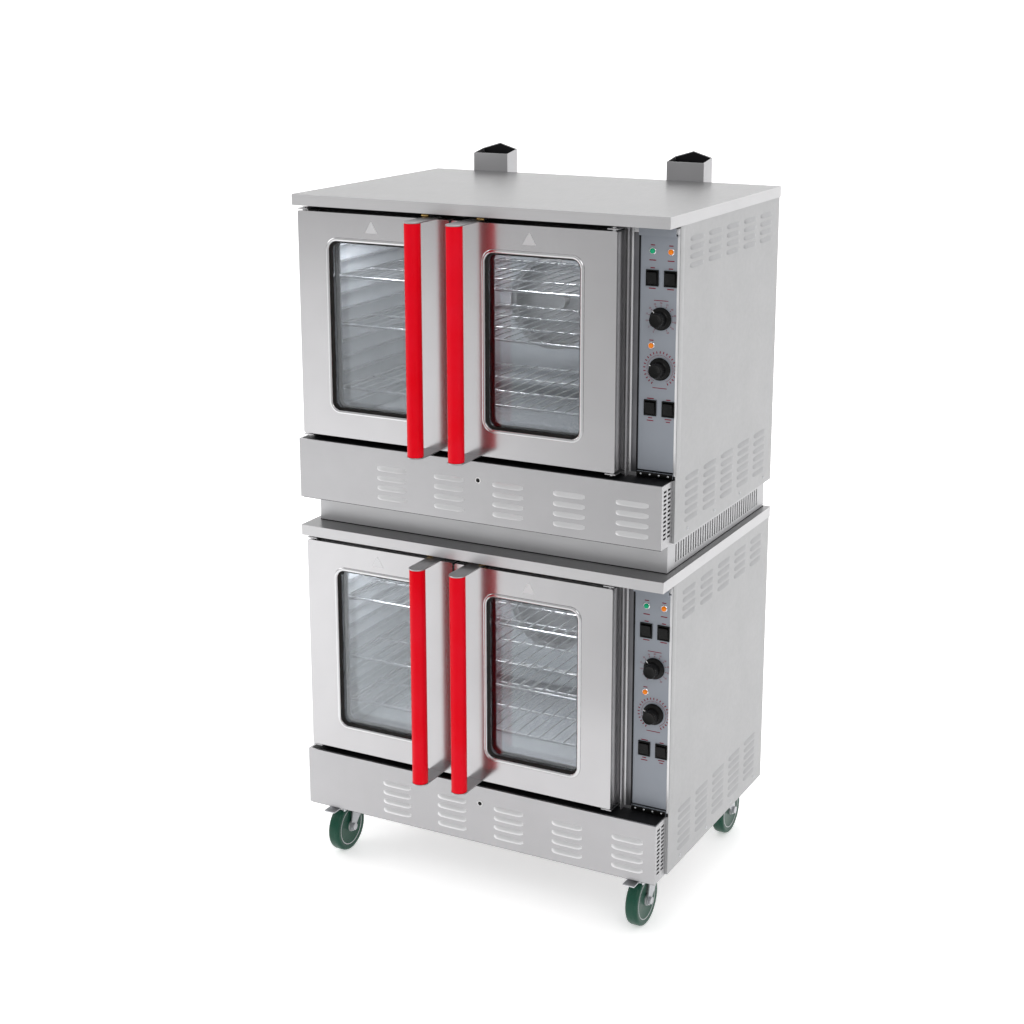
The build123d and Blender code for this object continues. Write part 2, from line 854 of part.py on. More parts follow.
# ---------------------------------------------------------------- control panels
def switch_places(top):
    """Middles of the four rocker switches of a deck's panel, by name."""
    return {
        "power": (column_x[0], top - upper_switch_drop),
        "light": (column_x[1], top - upper_switch_drop),
        "fan": (column_x[0], top - lower_switch_drop),
        "burner": (column_x[1], top - lower_switch_drop),
    }


def knob_places(top):
    """Middles of the two knobs of a deck's panel, by name."""
    return {"timer": (control_x, top - timer_drop), "thermostat": (control_x, top - thermostat_drop)}


def lamp_places(top):
    """Middles of the three lamps of a deck's panel."""
    return (
        (column_x[0], top - lamp_drop),
        (column_x[1], top - lamp_drop),
        (column_x[0], top - heat_lamp_drop),
    )


paddle_width = switch_width - 2 * switch_bezel
paddle_height = switch_height - 2 * switch_bezel

with BuildPart() as control_panels:
    for top in decks.values():
        high = top - control_drop
        low = high - control_height
        half_w = switch_width / 2 - switch_body_inset + switch_body_clearance
        half_h = switch_height / 2 - switch_body_inset + switch_body_clearance
        block((control_left, control_right), (face, face + sheet), (low, high))
        for x, z in switch_places(top).values():
            hole = ((x - half_w, x + half_w), (face - over, face + sheet + over), (z - half_h, z + half_h))
            block(*hole, Mode.SUBTRACT)
        for x, z in lamp_places(top):
            rod((x, face, z), lamp_radius - lamp_hole_inset, through, ALONG_Y, Mode.SUBTRACT)
        for x, z in knob_places(top).values():
            rod((x, face, z), spindle_radius + spindle_clearance, through, ALONG_Y, Mode.SUBTRACT)
        trim_low, trim_high = high + trim_gap, top - cover_lip - control_bar_gap
        trim_y = face - trim_reach
        block((control_left, control_right), (trim_y, trim_y + sheet), (trim_low, trim_high))
        block((control_left, control_right), (trim_y + sheet, face + sheet), (trim_low, trim_low + sheet))
        bar_high = low - control_bar_gap
        bar_y = face - control_bar_reach
        block((control_left, control_right), (bar_y, bar_y + sheet), (bar_high - control_bar, bar_high))
        block((control_left, control_right), (bar_y + sheet, face + sheet), (bar_high - sheet, bar_high))
save(control_panels, "control_panels")

with BuildPart() as indicator_lamps:
    for top in decks.values():
        for x, z in lamp_places(top):
            rim_y = face - lamp_clearance / 2 - lamp_rim / 2
            lens_y = face - lamp_clearance / 2 - lamp_rim - (lamp_reach - lamp_rim) / 2
            base = lamp_radius - lamp_lens_inset
            rod((x, rim_y, z), lamp_radius, lamp_rim, ALONG_Y)
            body_y = face - lamp_clearance + lamp_body / 2
            rod((x, body_y, z), lamp_radius - lamp_hole_inset - lamp_clearance, lamp_body, ALONG_Y)
            with Locations(Location((x, lens_y, z), ALONG_Y)):
                Cone(base, base - lamp_lens_taper, lamp_reach - lamp_rim)
save(indicator_lamps, "indicator_lamps")

with BuildPart() as switch_bezels:
    for top in decks.values():
        for x, z in switch_places(top).values():
            half_w, half_h = switch_width / 2, switch_height / 2
            body_w, body_h = half_w - switch_body_inset, half_h - switch_body_inset
            rear = face - switch_gap
            block((x - half_w, x + half_w), (rear - switch_bezel, rear), (z - half_h, z + half_h))
            block((x - body_w, x + body_w), (rear, face + switch_body), (z - body_h, z + body_h))
            block(
                (x - paddle_width / 2, x + paddle_width / 2),
                (rear - switch_bezel - over, face + switch_pocket),
                (z - paddle_height / 2, z + paddle_height / 2),
                Mode.SUBTRACT,
            )
save(switch_bezels, "switch_bezels")


def make_paddle(place):
    """Rocker paddle, tilted about its pivot so that its lower half is pressed in."""
    x, z = place
    half_w = paddle_width / 2 - switch_clearance
    half_h = paddle_height / 2 - switch_end_gap
    tilt = radians(switch_tilt)
    tilted = Plane((x, face, z), x_dir=(1, 0, 0), z_dir=(0, -cos(tilt), -sin(tilt)))
    with BuildPart() as paddle:
        with BuildSketch(tilted.offset(-paddle_root)) as foot:
            Rectangle(2 * half_w, 2 * half_h)
        extrude(foot.sketch, amount=switch_bezel + switch_reach)
    return paddle


def make_knob(place):
    """Turning knob: a round skirt, a round body and a pointer grip, on its spindle."""
    x, z = place
    with BuildPart() as knob:
        skirt_y = face - knob_gap
        body_y = skirt_y - knob_skirt
        rod((x, skirt_y - knob_skirt / 2, z), knob_radius, knob_skirt, ALONG_Y)
        rod((x, body_y - knob_body / 2, z), knob_grip_radius, knob_body, ALONG_Y)
        with BuildSketch(Plane.XZ.offset(-body_y)) as grip:
            with Locations((x, z)):
                SlotOverall(2 * (knob_grip_radius + knob_grip_end), knob_grip_width, rotation=knob_grip_turn)
        extrude(grip.sketch, amount=knob_length - knob_skirt)
        rod((x, skirt_y + spindle_reach / 2, z), spindle_radius, spindle_reach, ALONG_Y)
    return knob


for deck, top in decks.items():
    for name, place in switch_places(top).items():
        save(make_paddle(place), f"{deck}_{name}_switch")
    for name, place in knob_places(top).items():
        save(make_knob(place), f"{deck}_{name}_knob")


# ---------------------------------------------------------------- screws
with BuildPart() as panel_screws:
    for top in decks.values():
        for side in (-1, 1):
            for number in range(screw_count):
                y = front + screw_first + number * screw_pitch
                x = side * (side_x + screw_gap + screw_head / 2)
                rod((x, y, top - screw_drop), screw_radius, screw_head, ALONG_X)
save(panel_screws, "panel_screws")


# ---------------------------------------------------------------- casters
caster_x = cover_width / 2 - caster_inset
casters = {
    "front_left": (-caster_x, front + caster_front, -1),
    "front_right": (caster_x, front + caster_front, -1),
    "rear_left": (-caster_x, back - caster_rear, 1),
    "rear_right": (caster_x, back - caster_rear, 1),
}
plate_low = caster_height - caster_plate[2]
fork_half = wheel_width / 2 + fork_gap
fork_outer = fork_half + caster_sheet
pedal_level = fork_high - pedal_sleeve

with BuildPart() as caster_plates:
    for x, y, _ in casters.values():
        with Locations((x, y, caster_height - caster_plate[2] / 2)):
            Box(*caster_plate)
        rod((x, y, plate_low), king_radius + king_clearance, through, mode=Mode.SUBTRACT)
save(caster_plates, "caster_plates")


def make_fork(place, braked):
    """Swivel fork: a king pin, a crown, two legs, the axle bolt, and ears for the pedal's pin when braked."""
    x, y, lead = place
    axle_y = y + lead * caster_trail
    crown_low = fork_high - caster_sheet
    heel, toe = y - lead * leg_heel, y + lead * leg_toe
    king_low, king_high = crown_low, caster_height - king_end_gap
    with BuildPart() as fork:
        rod((x, y, fork_high - caster_sheet / 2), swivel_radius, caster_sheet)
        rod((x, y, (king_low + king_high) / 2), king_radius, king_high - king_low)
        for side in (-1, 1):
            middle = x + side * (fork_half + caster_sheet / 2)
            with BuildSketch(Plane.YZ.offset(middle - caster_sheet / 2)) as leg:
                with BuildLine():
                    Polyline(
                        (heel, fork_high), (toe, fork_high), (axle_y + lead * leg_eye, wheel_radius),
                        (axle_y - lead * leg_eye, wheel_radius), (heel, crown_low - leg_drop), close=True,
                    )
                make_face()
                with Locations((axle_y, wheel_radius)):
                    Circle(leg_eye)
            extrude(leg.sketch, amount=caster_sheet)
            head_x = x + side * (fork_outer + axle_head_gap + axle_head / 2)
            rod((head_x, axle_y, wheel_radius), axle_head_radius, axle_head, ALONG_X)
        block((x - fork_outer, x + fork_outer), sorted((heel, toe)), (crown_low, fork_high))
        rod((x, axle_y, wheel_radius), axle_radius, 2 * (fork_outer + axle_head), ALONG_X)
        if braked:
            pin_y = axle_y + lead * pedal_reach
            for side in (-1, 1):
                ear = x + side * (fork_half + caster_sheet / 2)
                block(
                    (ear - caster_sheet / 2, ear + caster_sheet / 2),
                    sorted((y + lead * pedal_ear, pin_y + lead * pedal_sleeve)),
                    (pedal_level - pedal_sleeve, fork_high),
                )
            rod((x, pin_y, pedal_level), pedal_pin, 2 * fork_outer, ALONG_X)
    return fork


def make_wheel(place):
    """Tyre on a dished core, with a bore that runs on the axle bolt."""
    x, y, lead = place
    centre = (x, y + lead * caster_trail, wheel_radius)
    hub_length = wheel_width + 2 * (fork_gap - wheel_side_gap)
    with BuildPart() as wheel:
        rod(centre, wheel_radius, wheel_width, ALONG_X)
        fillet(wheel.edges().filter_by(GeomType.CIRCLE), wheel_edge)
        rod(centre, wheel_core, hub_length + 2 * over, ALONG_X, Mode.SUBTRACT)
        rod(centre, wheel_core + wheel_core_lap, wheel_width - 2 * wheel_dish, ALONG_X)
        rod(centre, wheel_hub, hub_length, ALONG_X)
        rod(centre, axle_radius + axle_clearance, hub_length + 2 * over, ALONG_X, Mode.SUBTRACT)
    return wheel


for name, place in casters.items():
    save(make_fork(place, name.startswith("front")), f"{name}_caster_fork")
    save(make_wheel(place), f"{name}_caster_wheel")


def make_pedal(place):
    """Brake pedal: a sleeve on the fork's pin, and a tread that reaches out over the front of the tyre."""
    x, y, lead = place
    pin_y = y + lead * (caster_trail + pedal_reach)
    half_w = pedal_width / 2
    tread_top = pedal_level + pedal_sleeve
    with BuildPart() as pedal:
        rod((x, pin_y, pedal_level), pedal_sleeve, pedal_width, ALONG_X)
        block(
            (x - half_w, x + half_w),
            sorted((pin_y, pin_y + lead * pedal_length)),
            (tread_top - pedal_sheet, tread_top),
        )
        bore = pedal_pin + pedal_clearance
        rod((x, pin_y, pedal_level), bore, pedal_width + 2 * over, ALONG_X, Mode.SUBTRACT)
    return pedal


for name in ("front_left", "front_right"):
    save(make_pedal(casters[name]), f"{name}_brake_pedal")
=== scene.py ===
"""Double-deck gas convection oven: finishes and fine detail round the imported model, in metres."""
import math
import bmesh
import bpy
from mathutils import Matrix, Vector


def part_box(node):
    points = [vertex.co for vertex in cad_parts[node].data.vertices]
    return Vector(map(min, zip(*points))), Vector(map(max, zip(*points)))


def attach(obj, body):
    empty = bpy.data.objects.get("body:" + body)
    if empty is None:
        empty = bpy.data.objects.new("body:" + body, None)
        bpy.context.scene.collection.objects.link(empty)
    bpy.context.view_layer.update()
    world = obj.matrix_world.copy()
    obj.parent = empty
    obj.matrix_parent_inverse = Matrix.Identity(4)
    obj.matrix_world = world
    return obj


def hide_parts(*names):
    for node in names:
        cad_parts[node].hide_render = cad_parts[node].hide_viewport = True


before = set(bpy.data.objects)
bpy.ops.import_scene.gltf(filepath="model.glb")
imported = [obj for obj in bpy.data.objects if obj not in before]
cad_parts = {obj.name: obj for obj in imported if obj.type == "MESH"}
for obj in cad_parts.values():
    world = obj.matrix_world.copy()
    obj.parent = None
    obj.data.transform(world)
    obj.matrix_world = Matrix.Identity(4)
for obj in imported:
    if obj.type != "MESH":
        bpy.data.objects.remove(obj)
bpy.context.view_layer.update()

ROOT = "oven"
DECKS = ("upper", "lower")
SIDES = ("left", "right")
MM = 0.001


# ---------------------------------------------------------------- materials
def new_material(name):
    """An empty node material, its node tree and its Principled shader."""
    mat = bpy.data.materials.new(name)
    mat.use_nodes = True
    tree = mat.node_tree
    return mat, tree, tree.nodes["Principled BSDF"]


def noise(tree, stretch, detail=3.0, rough=0.55):
    """Noise over the object's own coordinates, in cells per metre along each axis."""
    coords = tree.nodes.new("ShaderNodeTexCoord")
    mapping = tree.nodes.new("ShaderNodeMapping")
    mapping.inputs["Scale"].default_value = stretch
    tree.links.new(coords.outputs["Object"], mapping.inputs["Vector"])
    tex = tree.nodes.new("ShaderNodeTexNoise")
    tex.inputs["Scale"].default_value = 1.0
    tex.inputs["Detail"].default_value = detail
    tex.inputs["Roughness"].default_value = rough
    tree.links.new(mapping.outputs["Vector"], tex.inputs["Vector"])
    return tex.outputs["Fac"]


def remap(tree, value, low, high, start=0.3, end=0.7):
    """Spreads a noise value over low to high."""
    node = tree.nodes.new("ShaderNodeMapRange")
    node.inputs["From Min"].default_value = start
    node.inputs["From Max"].default_value = end
    node.inputs["To Min"].default_value = low
    node.inputs["To Max"].default_value = high
    tree.links.new(value, node.inputs["Value"])
    return node.outputs["Result"]


def ramp(tree, value, low, high, start=0.3, end=0.7):
    """A colour between two, by a noise value."""
    node = tree.nodes.new("ShaderNodeValToRGB")
    node.color_ramp.elements[0].position = start
    node.color_ramp.elements[1].position = end
    node.color_ramp.elements[0].color = (*low, 1)
    node.color_ramp.elements[1].color = (*high, 1)
    tree.links.new(value, node.inputs["Fac"])
    return node.outputs["Color"]


def bump(tree, shader, value, strength, distance):
    """Fine relief from a height value."""
    node = tree.nodes.new("ShaderNodeBump")
    node.inputs["Strength"].default_value = strength
    node.inputs["Distance"].default_value = distance
    tree.links.new(value, node.inputs["Height"])
    tree.links.new(node.outputs["Normal"], shader.inputs["Normal"])


def shade(name, tone, spread, metallic, rough, grain, relief, coat=0.0, edge=0.0, specular=0.5):
    """A finish: a mottled tone, uneven roughness, fine relief, and lighter worn edges if edge is over 0."""
    mat, tree, shader = new_material(name)
    cloud = noise(tree, (9, 9, 9), 4.0)
    low = tuple(max(c - spread, 0) for c in tone)
    high = tuple(min(c + spread, 1) for c in tone)
    colour = ramp(tree, cloud, low, high)
    if edge:
        geometry = tree.nodes.new("ShaderNodeNewGeometry")
        worn = remap(tree, geometry.outputs["Pointiness"], 0.0, edge, 0.5, 0.6)
        mix = tree.nodes.new("ShaderNodeMix")
        mix.data_type = "RGBA"
        mix.inputs["B"].default_value = (*(min(c + 0.25, 1) for c in tone), 1)
        tree.links.new(worn, mix.inputs["Factor"])
        tree.links.new(colour, mix.inputs["A"])
        colour = mix.outputs["Result"]
    tree.links.new(colour, shader.inputs["Base Color"])
    shader.inputs["Metallic"].default_value = metallic
    shader.inputs["Specular IOR Level"].default_value = specular
    shader.inputs["Coat Weight"].default_value = coat
    shader.inputs["Coat Roughness"].default_value = 0.06
    fine = noise(tree, grain, 5.0, 0.6)
    tree.links.new(remap(tree, fine, rough[0], rough[1]), shader.inputs["Roughness"])
    bump(tree, shader, fine, relief, 0.2 * MM)
    return mat


ALONG_X = (14, 1500, 1500)
ALONG_Y = (1500, 14, 1500)
ALONG_Z = (1500, 1500, 14)

steel_door = shade("steel_door", (0.53, 0.525, 0.535), 0.012, 0.93, (0.15, 0.22), ALONG_Z, 0.03)
steel_front = shade("steel_front", (0.46, 0.457, 0.467), 0.012, 0.9, (0.28, 0.38), ALONG_X, 0.06)
steel_plinth = shade("steel_plinth", (0.52, 0.52, 0.53), 0.012, 0.75, (0.35, 0.45), ALONG_X, 0.05)
steel_top = shade("steel_top", (0.56, 0.557, 0.565), 0.012, 0.85, (0.3, 0.4), ALONG_Y, 0.05)
steel_side = shade("steel_side", (0.42, 0.42, 0.425), 0.012, 0.6, (0.36, 0.46), (90, 90, 90), 0.04)
steel_louvre = shade("steel_louvre", (0.36, 0.36, 0.368), 0.015, 0.7, (0.3, 0.4), (90, 90, 90), 0.04)
steel_hood = shade("steel_hood", (0.72, 0.72, 0.73), 0.012, 0.8, (0.28, 0.38), (90, 90, 90), 0.04)
steel_strip = shade("steel_strip", (0.75, 0.75, 0.76), 0.012, 0.6, (0.3, 0.4), (90, 90, 90), 0.04)
bright_bead = shade("bright_bead", (0.62, 0.62, 0.63), 0.02, 1.0, (0.12, 0.2), (300, 300, 300), 0.03)
chrome = shade("chrome_wire", (0.8, 0.8, 0.82), 0.02, 1.0, (0.1, 0.2), (200, 200, 200), 0.04)
rack_wire = shade("rack_wire", (0.5, 0.5, 0.51), 0.03, 1.0, (0.28, 0.38), (200, 200, 200), 0.06)
zinc = shade("zinc_plate", (0.5, 0.51, 0.53), 0.05, 0.85, (0.3, 0.45), (120, 120, 120), 0.15, edge=0.5)
brass = shade("brass_roller", (0.72, 0.48, 0.18), 0.04, 1.0, (0.22, 0.34), (200, 200, 200), 0.06)
enamel = shade("chamber_enamel", (0.31, 0.32, 0.335), 0.02, 0.0, (0.2, 0.32), (260, 260, 260), 0.12,
               coat=0.3)
motor_paint = shade("motor_paint", (0.035, 0.036, 0.04), 0.01, 0.2, (0.4, 0.55), (400, 400, 400), 0.25,
                    edge=0.3)
mill_steel = shade("mill_steel", (0.4, 0.39, 0.39), 0.06, 0.95, (0.35, 0.5), (60, 300, 300), 0.12)
panel_film = shade("panel_film", (0.27, 0.292, 0.33), 0.008, 0.15, (0.3, 0.38), (700, 700, 700), 0.06)
black_gloss = shade("black_gloss", (0.003, 0.003, 0.003), 0.001, 0.0, (0.2, 0.3), (500, 500, 500), 0.08,
                    specular=0.18)
rubber = shade("seal_rubber", (0.012, 0.011, 0.01), 0.004, 0.0, (0.5, 0.65), (800, 800, 800), 0.25,
               specular=0.2)
red_gloss = shade("red_gloss", (0.76, 0.0, 0.014), 0.006, 0.0, (0.26, 0.34), (150, 150, 30), 0.03,
                  specular=0.06)
tyre_green = shade("tyre_green", (0.003, 0.06, 0.035), 0.006, 0.0, (0.25, 0.4), (300, 300, 300), 0.12,
                   specular=0.3)
core_grey = shade("core_grey", (0.42, 0.43, 0.44), 0.04, 0.6, (0.35, 0.5), (200, 200, 200), 0.15, edge=0.4)
mark_white = shade("mark_white", (0.8, 0.8, 0.8), 0.02, 0.0, (0.4, 0.5), (500, 500, 500), 0.05)
mark_red = shade("mark_red", (0.2, 0.008, 0.03), 0.02, 0.0, (0.5, 0.6), (500, 500, 500), 0.05, specular=0.1)
mark_pale = shade("mark_pale", (0.62, 0.62, 0.63), 0.02, 0.75, (0.35, 0.45), (500, 500, 500), 0.05)
# painted shade: a near-black for the gaps, seams, ledge and flue insides that are dark only from shade
painted_shade = shade("painted_shade_black", (0.006, 0.006, 0.007), 0.002, 0.0, (0.4, 0.5), ALONG_Z, 0.1, specular=0.15)
channel_steel = shade("channel_steel", (0.16, 0.16, 0.17), 0.02, 0.8, (0.3, 0.4), ALONG_Z, 0.06)


def dull_tops(mat, keep):
    """Painted shade: darkens the faces of a finish that look upwards, so that they come out darker than the
    lips, as they do under the lighting.
    """
    tree, shader = mat.node_tree, mat.node_tree.nodes["Principled BSDF"]
    coords = tree.nodes.new("ShaderNodeTexCoord")
    split = tree.nodes.new("ShaderNodeSeparateXYZ")
    tree.links.new(coords.outputs["Normal"], split.inputs["Vector"])
    scale = tree.nodes.new("ShaderNodeVectorMath")
    scale.operation = "SCALE"
    tree.links.new(shader.inputs["Base Color"].links[0].from_socket, scale.inputs[0])
    tree.links.new(remap(tree, split.outputs["Z"], 1.0, keep, 0.3, 0.8), scale.inputs["Scale"])
    tree.links.new(scale.outputs["Vector"], shader.inputs["Base Color"])


# painted shade on the upward faces of the top covers
dull_tops(steel_top, 0.43)


def lens_material(name, tone, glow):
    """A faceted indicator lens that glows."""
    mat = shade(name, tone, 0.02, 0.0, (0.1, 0.2), (700, 700, 700), 0.2, specular=0.25)
    shader = mat.node_tree.nodes["Principled BSDF"]
    shader.inputs["Emission Color"].default_value = (*tone, 1)
    shader.inputs["Emission Strength"].default_value = glow
    return mat


green_lens = lens_material("green_lens", (0.0, 0.32, 0.15), 0.2)
amber_lens = lens_material("amber_lens", (0.75, 0.19, 0.0), 0.2)


def glass_material():
    """Clear glass: see-through, with faint smears, and reflections that grow at a slant."""
    mat, tree, shader = new_material("door_glass")
    output = tree.nodes["Material Output"]
    clear = tree.nodes.new("ShaderNodeBsdfTransparent")
    clear.inputs["Color"].default_value = (0.94, 0.95, 0.96, 1)
    facing = tree.nodes.new("ShaderNodeFresnel")
    facing.inputs["IOR"].default_value = 1.5
    mix = tree.nodes.new("ShaderNodeMixShader")
    smear = noise(tree, (7, 7, 12), 4.0)
    tint = ramp(tree, smear, (0.82, 0.86, 0.88), (0.9, 0.92, 0.94))
    tree.links.new(tint, shader.inputs["Base Color"])
    tree.links.new(remap(tree, smear, 0.02, 0.1), shader.inputs["Roughness"])
    shader.inputs["Metallic"].default_value = 1.0
    tree.links.new(facing.outputs["Fac"], mix.inputs["Fac"])
    tree.links.new(clear.outputs["BSDF"], mix.inputs[1])
    tree.links.new(shader.outputs["BSDF"], mix.inputs[2])
    tree.links.new(mix.outputs["Shader"], output.inputs["Surface"])
    return mat


door_glass = glass_material()


# ---------------------------------------------------------------- mesh helpers
def piece(name, mesh_data, material, body=ROOT, smooth=False, replaces=()):
    """A new object that rides on a body. mesh_data is a bmesh, which is used up."""
    mesh = bpy.data.meshes.new(name)
    bmesh.ops.remove_doubles(mesh_data, verts=mesh_data.verts, dist=1e-6)
    bmesh.ops.recalc_face_normals(mesh_data, faces=mesh_data.faces)
    mesh_data.to_mesh(mesh)
    mesh_data.free()
    mesh.materials.append(material)
    if smooth:
        mesh.shade_smooth()
        mesh.set_sharp_from_angle(angle=math.radians(38))
    obj = bpy.data.objects.new(name, mesh)
    bpy.context.scene.collection.objects.link(obj)
    if replaces:
        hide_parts(*replaces)
    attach(obj, body)
    return obj


def add_box(bm, low, high, bevel=0.0):
    """A box between two corners, with rounded edges, added to a bmesh."""
    low, high = Vector(low), Vector(high)
    made = bmesh.ops.create_cube(bm, size=1.0)["verts"]
    size = high - low
    for v in made:
        v.co = Vector((v.co.x * size.x, v.co.y * size.y, v.co.z * size.z)) + (low + high) / 2
    if bevel:
        edges = list({e for v in made for e in v.link_edges})
        bmesh.ops.bevel(bm, geom=edges, offset=bevel, segments=2, affect="EDGES", profile=0.5)


def add_prism(bm, near, far):
    """A solid between two matching outlines, each a list of places."""
    near = [bm.verts.new(place) for place in near]
    far = [bm.verts.new(place) for place in far]
    bm.faces.new(near)
    bm.faces.new(far[::-1])
    for k in range(len(near)):
        after = (k + 1) % len(near)
        bm.faces.new((near[k], far[k], far[after], near[after]))


TURNS = {
    "X": Matrix(((0, 0, 1), (1, 0, 0), (0, 1, 0))),
    "Y": Matrix(((1, 0, 0), (0, 0, 1), (0, 1, 0))),
    "Z": Matrix.Identity(3),
}


def mm(points):
    """Pairs in millimetres, as metres."""
    return [(a * MM, b * MM) for a, b in points]


def add_lathe(bm, profile, centre, axis, steps=48):
    """A turned shape. profile is (radius, place along the axis) from one end to the other."""
    turn, centre = TURNS[axis], Vector(centre)
    rings = []
    for radius, along in profile:
        ring = []
        for k in range(steps):
            a = 2 * math.pi * k / steps
            spot = Vector((radius * math.cos(a), radius * math.sin(a), along))
            ring.append(bm.verts.new(centre + turn @ spot))
        rings.append(ring)
    for one, two in zip(rings, rings[1:]):
        for k in range(steps):
            bm.faces.new((one[k], one[(k + 1) % steps], two[(k + 1) % steps], two[k]))
    for ring in (rings[0], rings[-1]):
        bm.faces.new(ring)


def rounded_path(width, height, radius, steps=10):
    """Points and outward directions round a rounded rectangle about the origin, in x and z."""
    out = []
    for cx, cz, start in ((1, 1, 0), (-1, 1, 90), (-1, -1, 180), (1, -1, 270)):
        for k in range(steps + 1):
            a = math.radians(start + 90 * k / steps)
            away = Vector((math.cos(a), 0, math.sin(a)))
            middle = Vector((cx * (width / 2 - radius), 0, cz * (height / 2 - radius)))
            out.append((middle + away * radius, away))
    return out


def add_loop(bm, path, section, centre):
    """Sweeps a closed section round a closed path. section is (outward, forward) from the path."""
    centre = Vector(centre)
    rings = []
    for point, away in path:
        rings.append([bm.verts.new(centre + point + away * a + Vector((0, -b, 0))) for a, b in section])
    count = len(section)
    for one, two in zip(rings, rings[1:] + rings[:1]):
        for k in range(count):
            bm.faces.new((one[k], one[(k + 1) % count], two[(k + 1) % count], two[k]))


def add_hood(bm, centre, along, out, length, width, rise, steps=14, rows=5):
    """A pressed louvre: a long bulge with closed ends, flush at its top and open at its lower edge."""
    centre, along, out = Vector(centre), Vector(along), Vector(out)
    down, wall = Vector((0, 0, -1)), 0.5 * MM
    grids = []
    for inset in (0.0, wall):
        grid = []
        for i in range(steps + 1):
            u = -1 + 2 * i / steps
            taper = math.sqrt(max(1 - abs(u) ** 5, 0.0))
            row = []
            for j in range(rows + 1):
                v = j / rows
                lift = max(rise * taper * math.sin(v * math.pi / 2) - inset, 0.0)
                fall = (v - 0.5) * width * (0.55 + 0.45 * taper)
                place = centre + along * (u * length / 2) + down * fall
                row.append(bm.verts.new(place + out * (lift + 0.05 * MM)))
            grid.append(row)
        grids.append(grid)
    for number, grid in enumerate(grids):
        for i in range(steps):
            for j in range(rows):
                quad = (grid[i][j], grid[i + 1][j], grid[i + 1][j + 1], grid[i][j + 1])
                bm.faces.new(quad if number == 0 else quad[::-1])
    for i in range(steps):
        for j, turn in ((rows, 1), (0, -1)):
            quad = (grids[0][i][j], grids[0][i + 1][j], grids[1][i + 1][j], grids[1][i][j])
            bm.faces.new(quad[::turn])
    for i, turn in ((0, -1), (steps, 1)):
        for j in range(rows):
            quad = (grids[0][i][j], grids[0][i][j + 1], grids[1][i][j + 1], grids[1][i][j])
            bm.faces.new(quad[::turn])


def size_of(node):
    """Lowest corner, highest corner and middle of a CAD node."""
    low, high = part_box(node)
    return low, high, (low + high) / 2


# ---------------------------------------------------------------- places read from the frame
cover_low, cover_high, _ = size_of("top_covers")
front_y, back_y = cover_low.y, cover_high.y
tops = {"upper": cover_high.z}
tops["lower"] = cover_high.z - (size_of("upper_left_door")[1].z - size_of("lower_left_door")[1].z)
window_x = [size_of(f"upper_{side}_glass")[2].x for side in SIDES]
meeting_x = sum(window_x) / 2
BEAD_HEIGHT, KNOB_REACH = 2, 31
door_face = size_of("upper_right_door")[0].y + BEAD_HEIGHT * MM
side_x = size_of("side_panels")[1].x
panel_low, panel_high, _ = size_of("control_panels")
front_panel_y = size_of("front_panels")[0].y
film_y = size_of("upper_timer_knob")[0].y + KNOB_REACH * MM
plinth_low, plinth_high, _ = size_of("stacking_plinth")
column_x = [size_of(f"upper_{switch}_switch")[2].x for switch in ("power", "light")]


def at(top, x, y, drop):
    """A place from millimetres: across, back from the covers' front edge and down from a deck's top."""
    return Vector((x * MM, front_y + y * MM, tops[top] - drop * MM))


# ---------------------------------------------------------------- finishes of the CAD pieces
FINISHES = {
    "top_covers": steel_top, "side_panels": steel_side, "back_panels": steel_side, "front_panels": steel_front,
    "base_pans": mill_steel, "stacking_plinth": steel_plinth, "face_frames": steel_front,
    "cavity_liners": enamel, "rack_guides": rack_wire, "fan_baffles": enamel, "fan_motors": motor_paint,
    "gas_burners": mill_steel, "flue_risers": steel_front, "control_panels": panel_film,
    "switch_bezels": black_gloss, "caster_plates": zinc,
}
FINISHES_BY_ENDING = {
    "_door": steel_door, "_glass": door_glass, "_rack": rack_wire, "_fan": mill_steel,
    "_switch": black_gloss, "_fork": zinc, "_pedal": zinc,
}
EDGES = {"switch_bezels": 0.7, "top_covers": 0.6}
EDGES_BY_ENDING = {"_switch": 0.8, "_fork": 0.8, "_pedal": 0.8}


def by_ending(table, node):
    """The entry of a table for what a node's name ends with, or None."""
    return next((value for ending, value in table.items() if node.endswith(ending)), None)


def finish_node(node):
    """Gives a CAD node its material and, on the pieces with soft edges, its rounding."""
    material = FINISHES.get(node) or by_ending(FINISHES_BY_ENDING, node)
    if not material:
        return
    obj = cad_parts[node]
    obj.data.materials.clear()
    obj.data.materials.append(material)
    width = EDGES.get(node) or by_ending(EDGES_BY_ENDING, node)
    if width:
        weld = obj.modifiers.new("weld", "WELD")
        weld.merge_threshold = 1e-5
        soft = obj.modifiers.new("edges", "BEVEL")
        soft.width = width * MM
        soft.segments = 2
        soft.limit_method = "ANGLE"
        soft.angle_limit = math.radians(40)


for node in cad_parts:
    finish_node(node)

# ---------------------------------------------------------------- louvres
HOOD_LENGTH = 80
FRONT_COLUMNS, FRONT_PITCH, FRONT_MIDDLE = 5, 156.5, 91
FRONT_ROWS, FRONT_ROW_PITCH, FRONT_DROP = 4, 23.8, 676.5
SIDE_COLUMNS, SIDE_PITCH, SIDE_FIRST = 5, 108.5, 160
SIDE_ROW_PITCH, SIDE_TOP_ROWS, SIDE_TOP_DROP, SIDE_LOW_ROWS, SIDE_LOW_DROP = 19.6, 4, 60, 6, 601
BACK_MIDDLE = -59


def add_front_hoods(bm, deck):
    """The hoods on a deck's front panel."""
    for column in range(FRONT_COLUMNS):
        for row in range(FRONT_ROWS):
            x = FRONT_MIDDLE + (column - (FRONT_COLUMNS - 1) / 2) * FRONT_PITCH
            spot = at(deck, x, 0, FRONT_DROP + (row - (FRONT_ROWS - 1) / 2) * FRONT_ROW_PITCH)
            spot.y = front_panel_y
            add_hood(bm, spot, (1, 0, 0), (0, -1, 0), HOOD_LENGTH * MM, 12 * MM, 4.2 * MM)


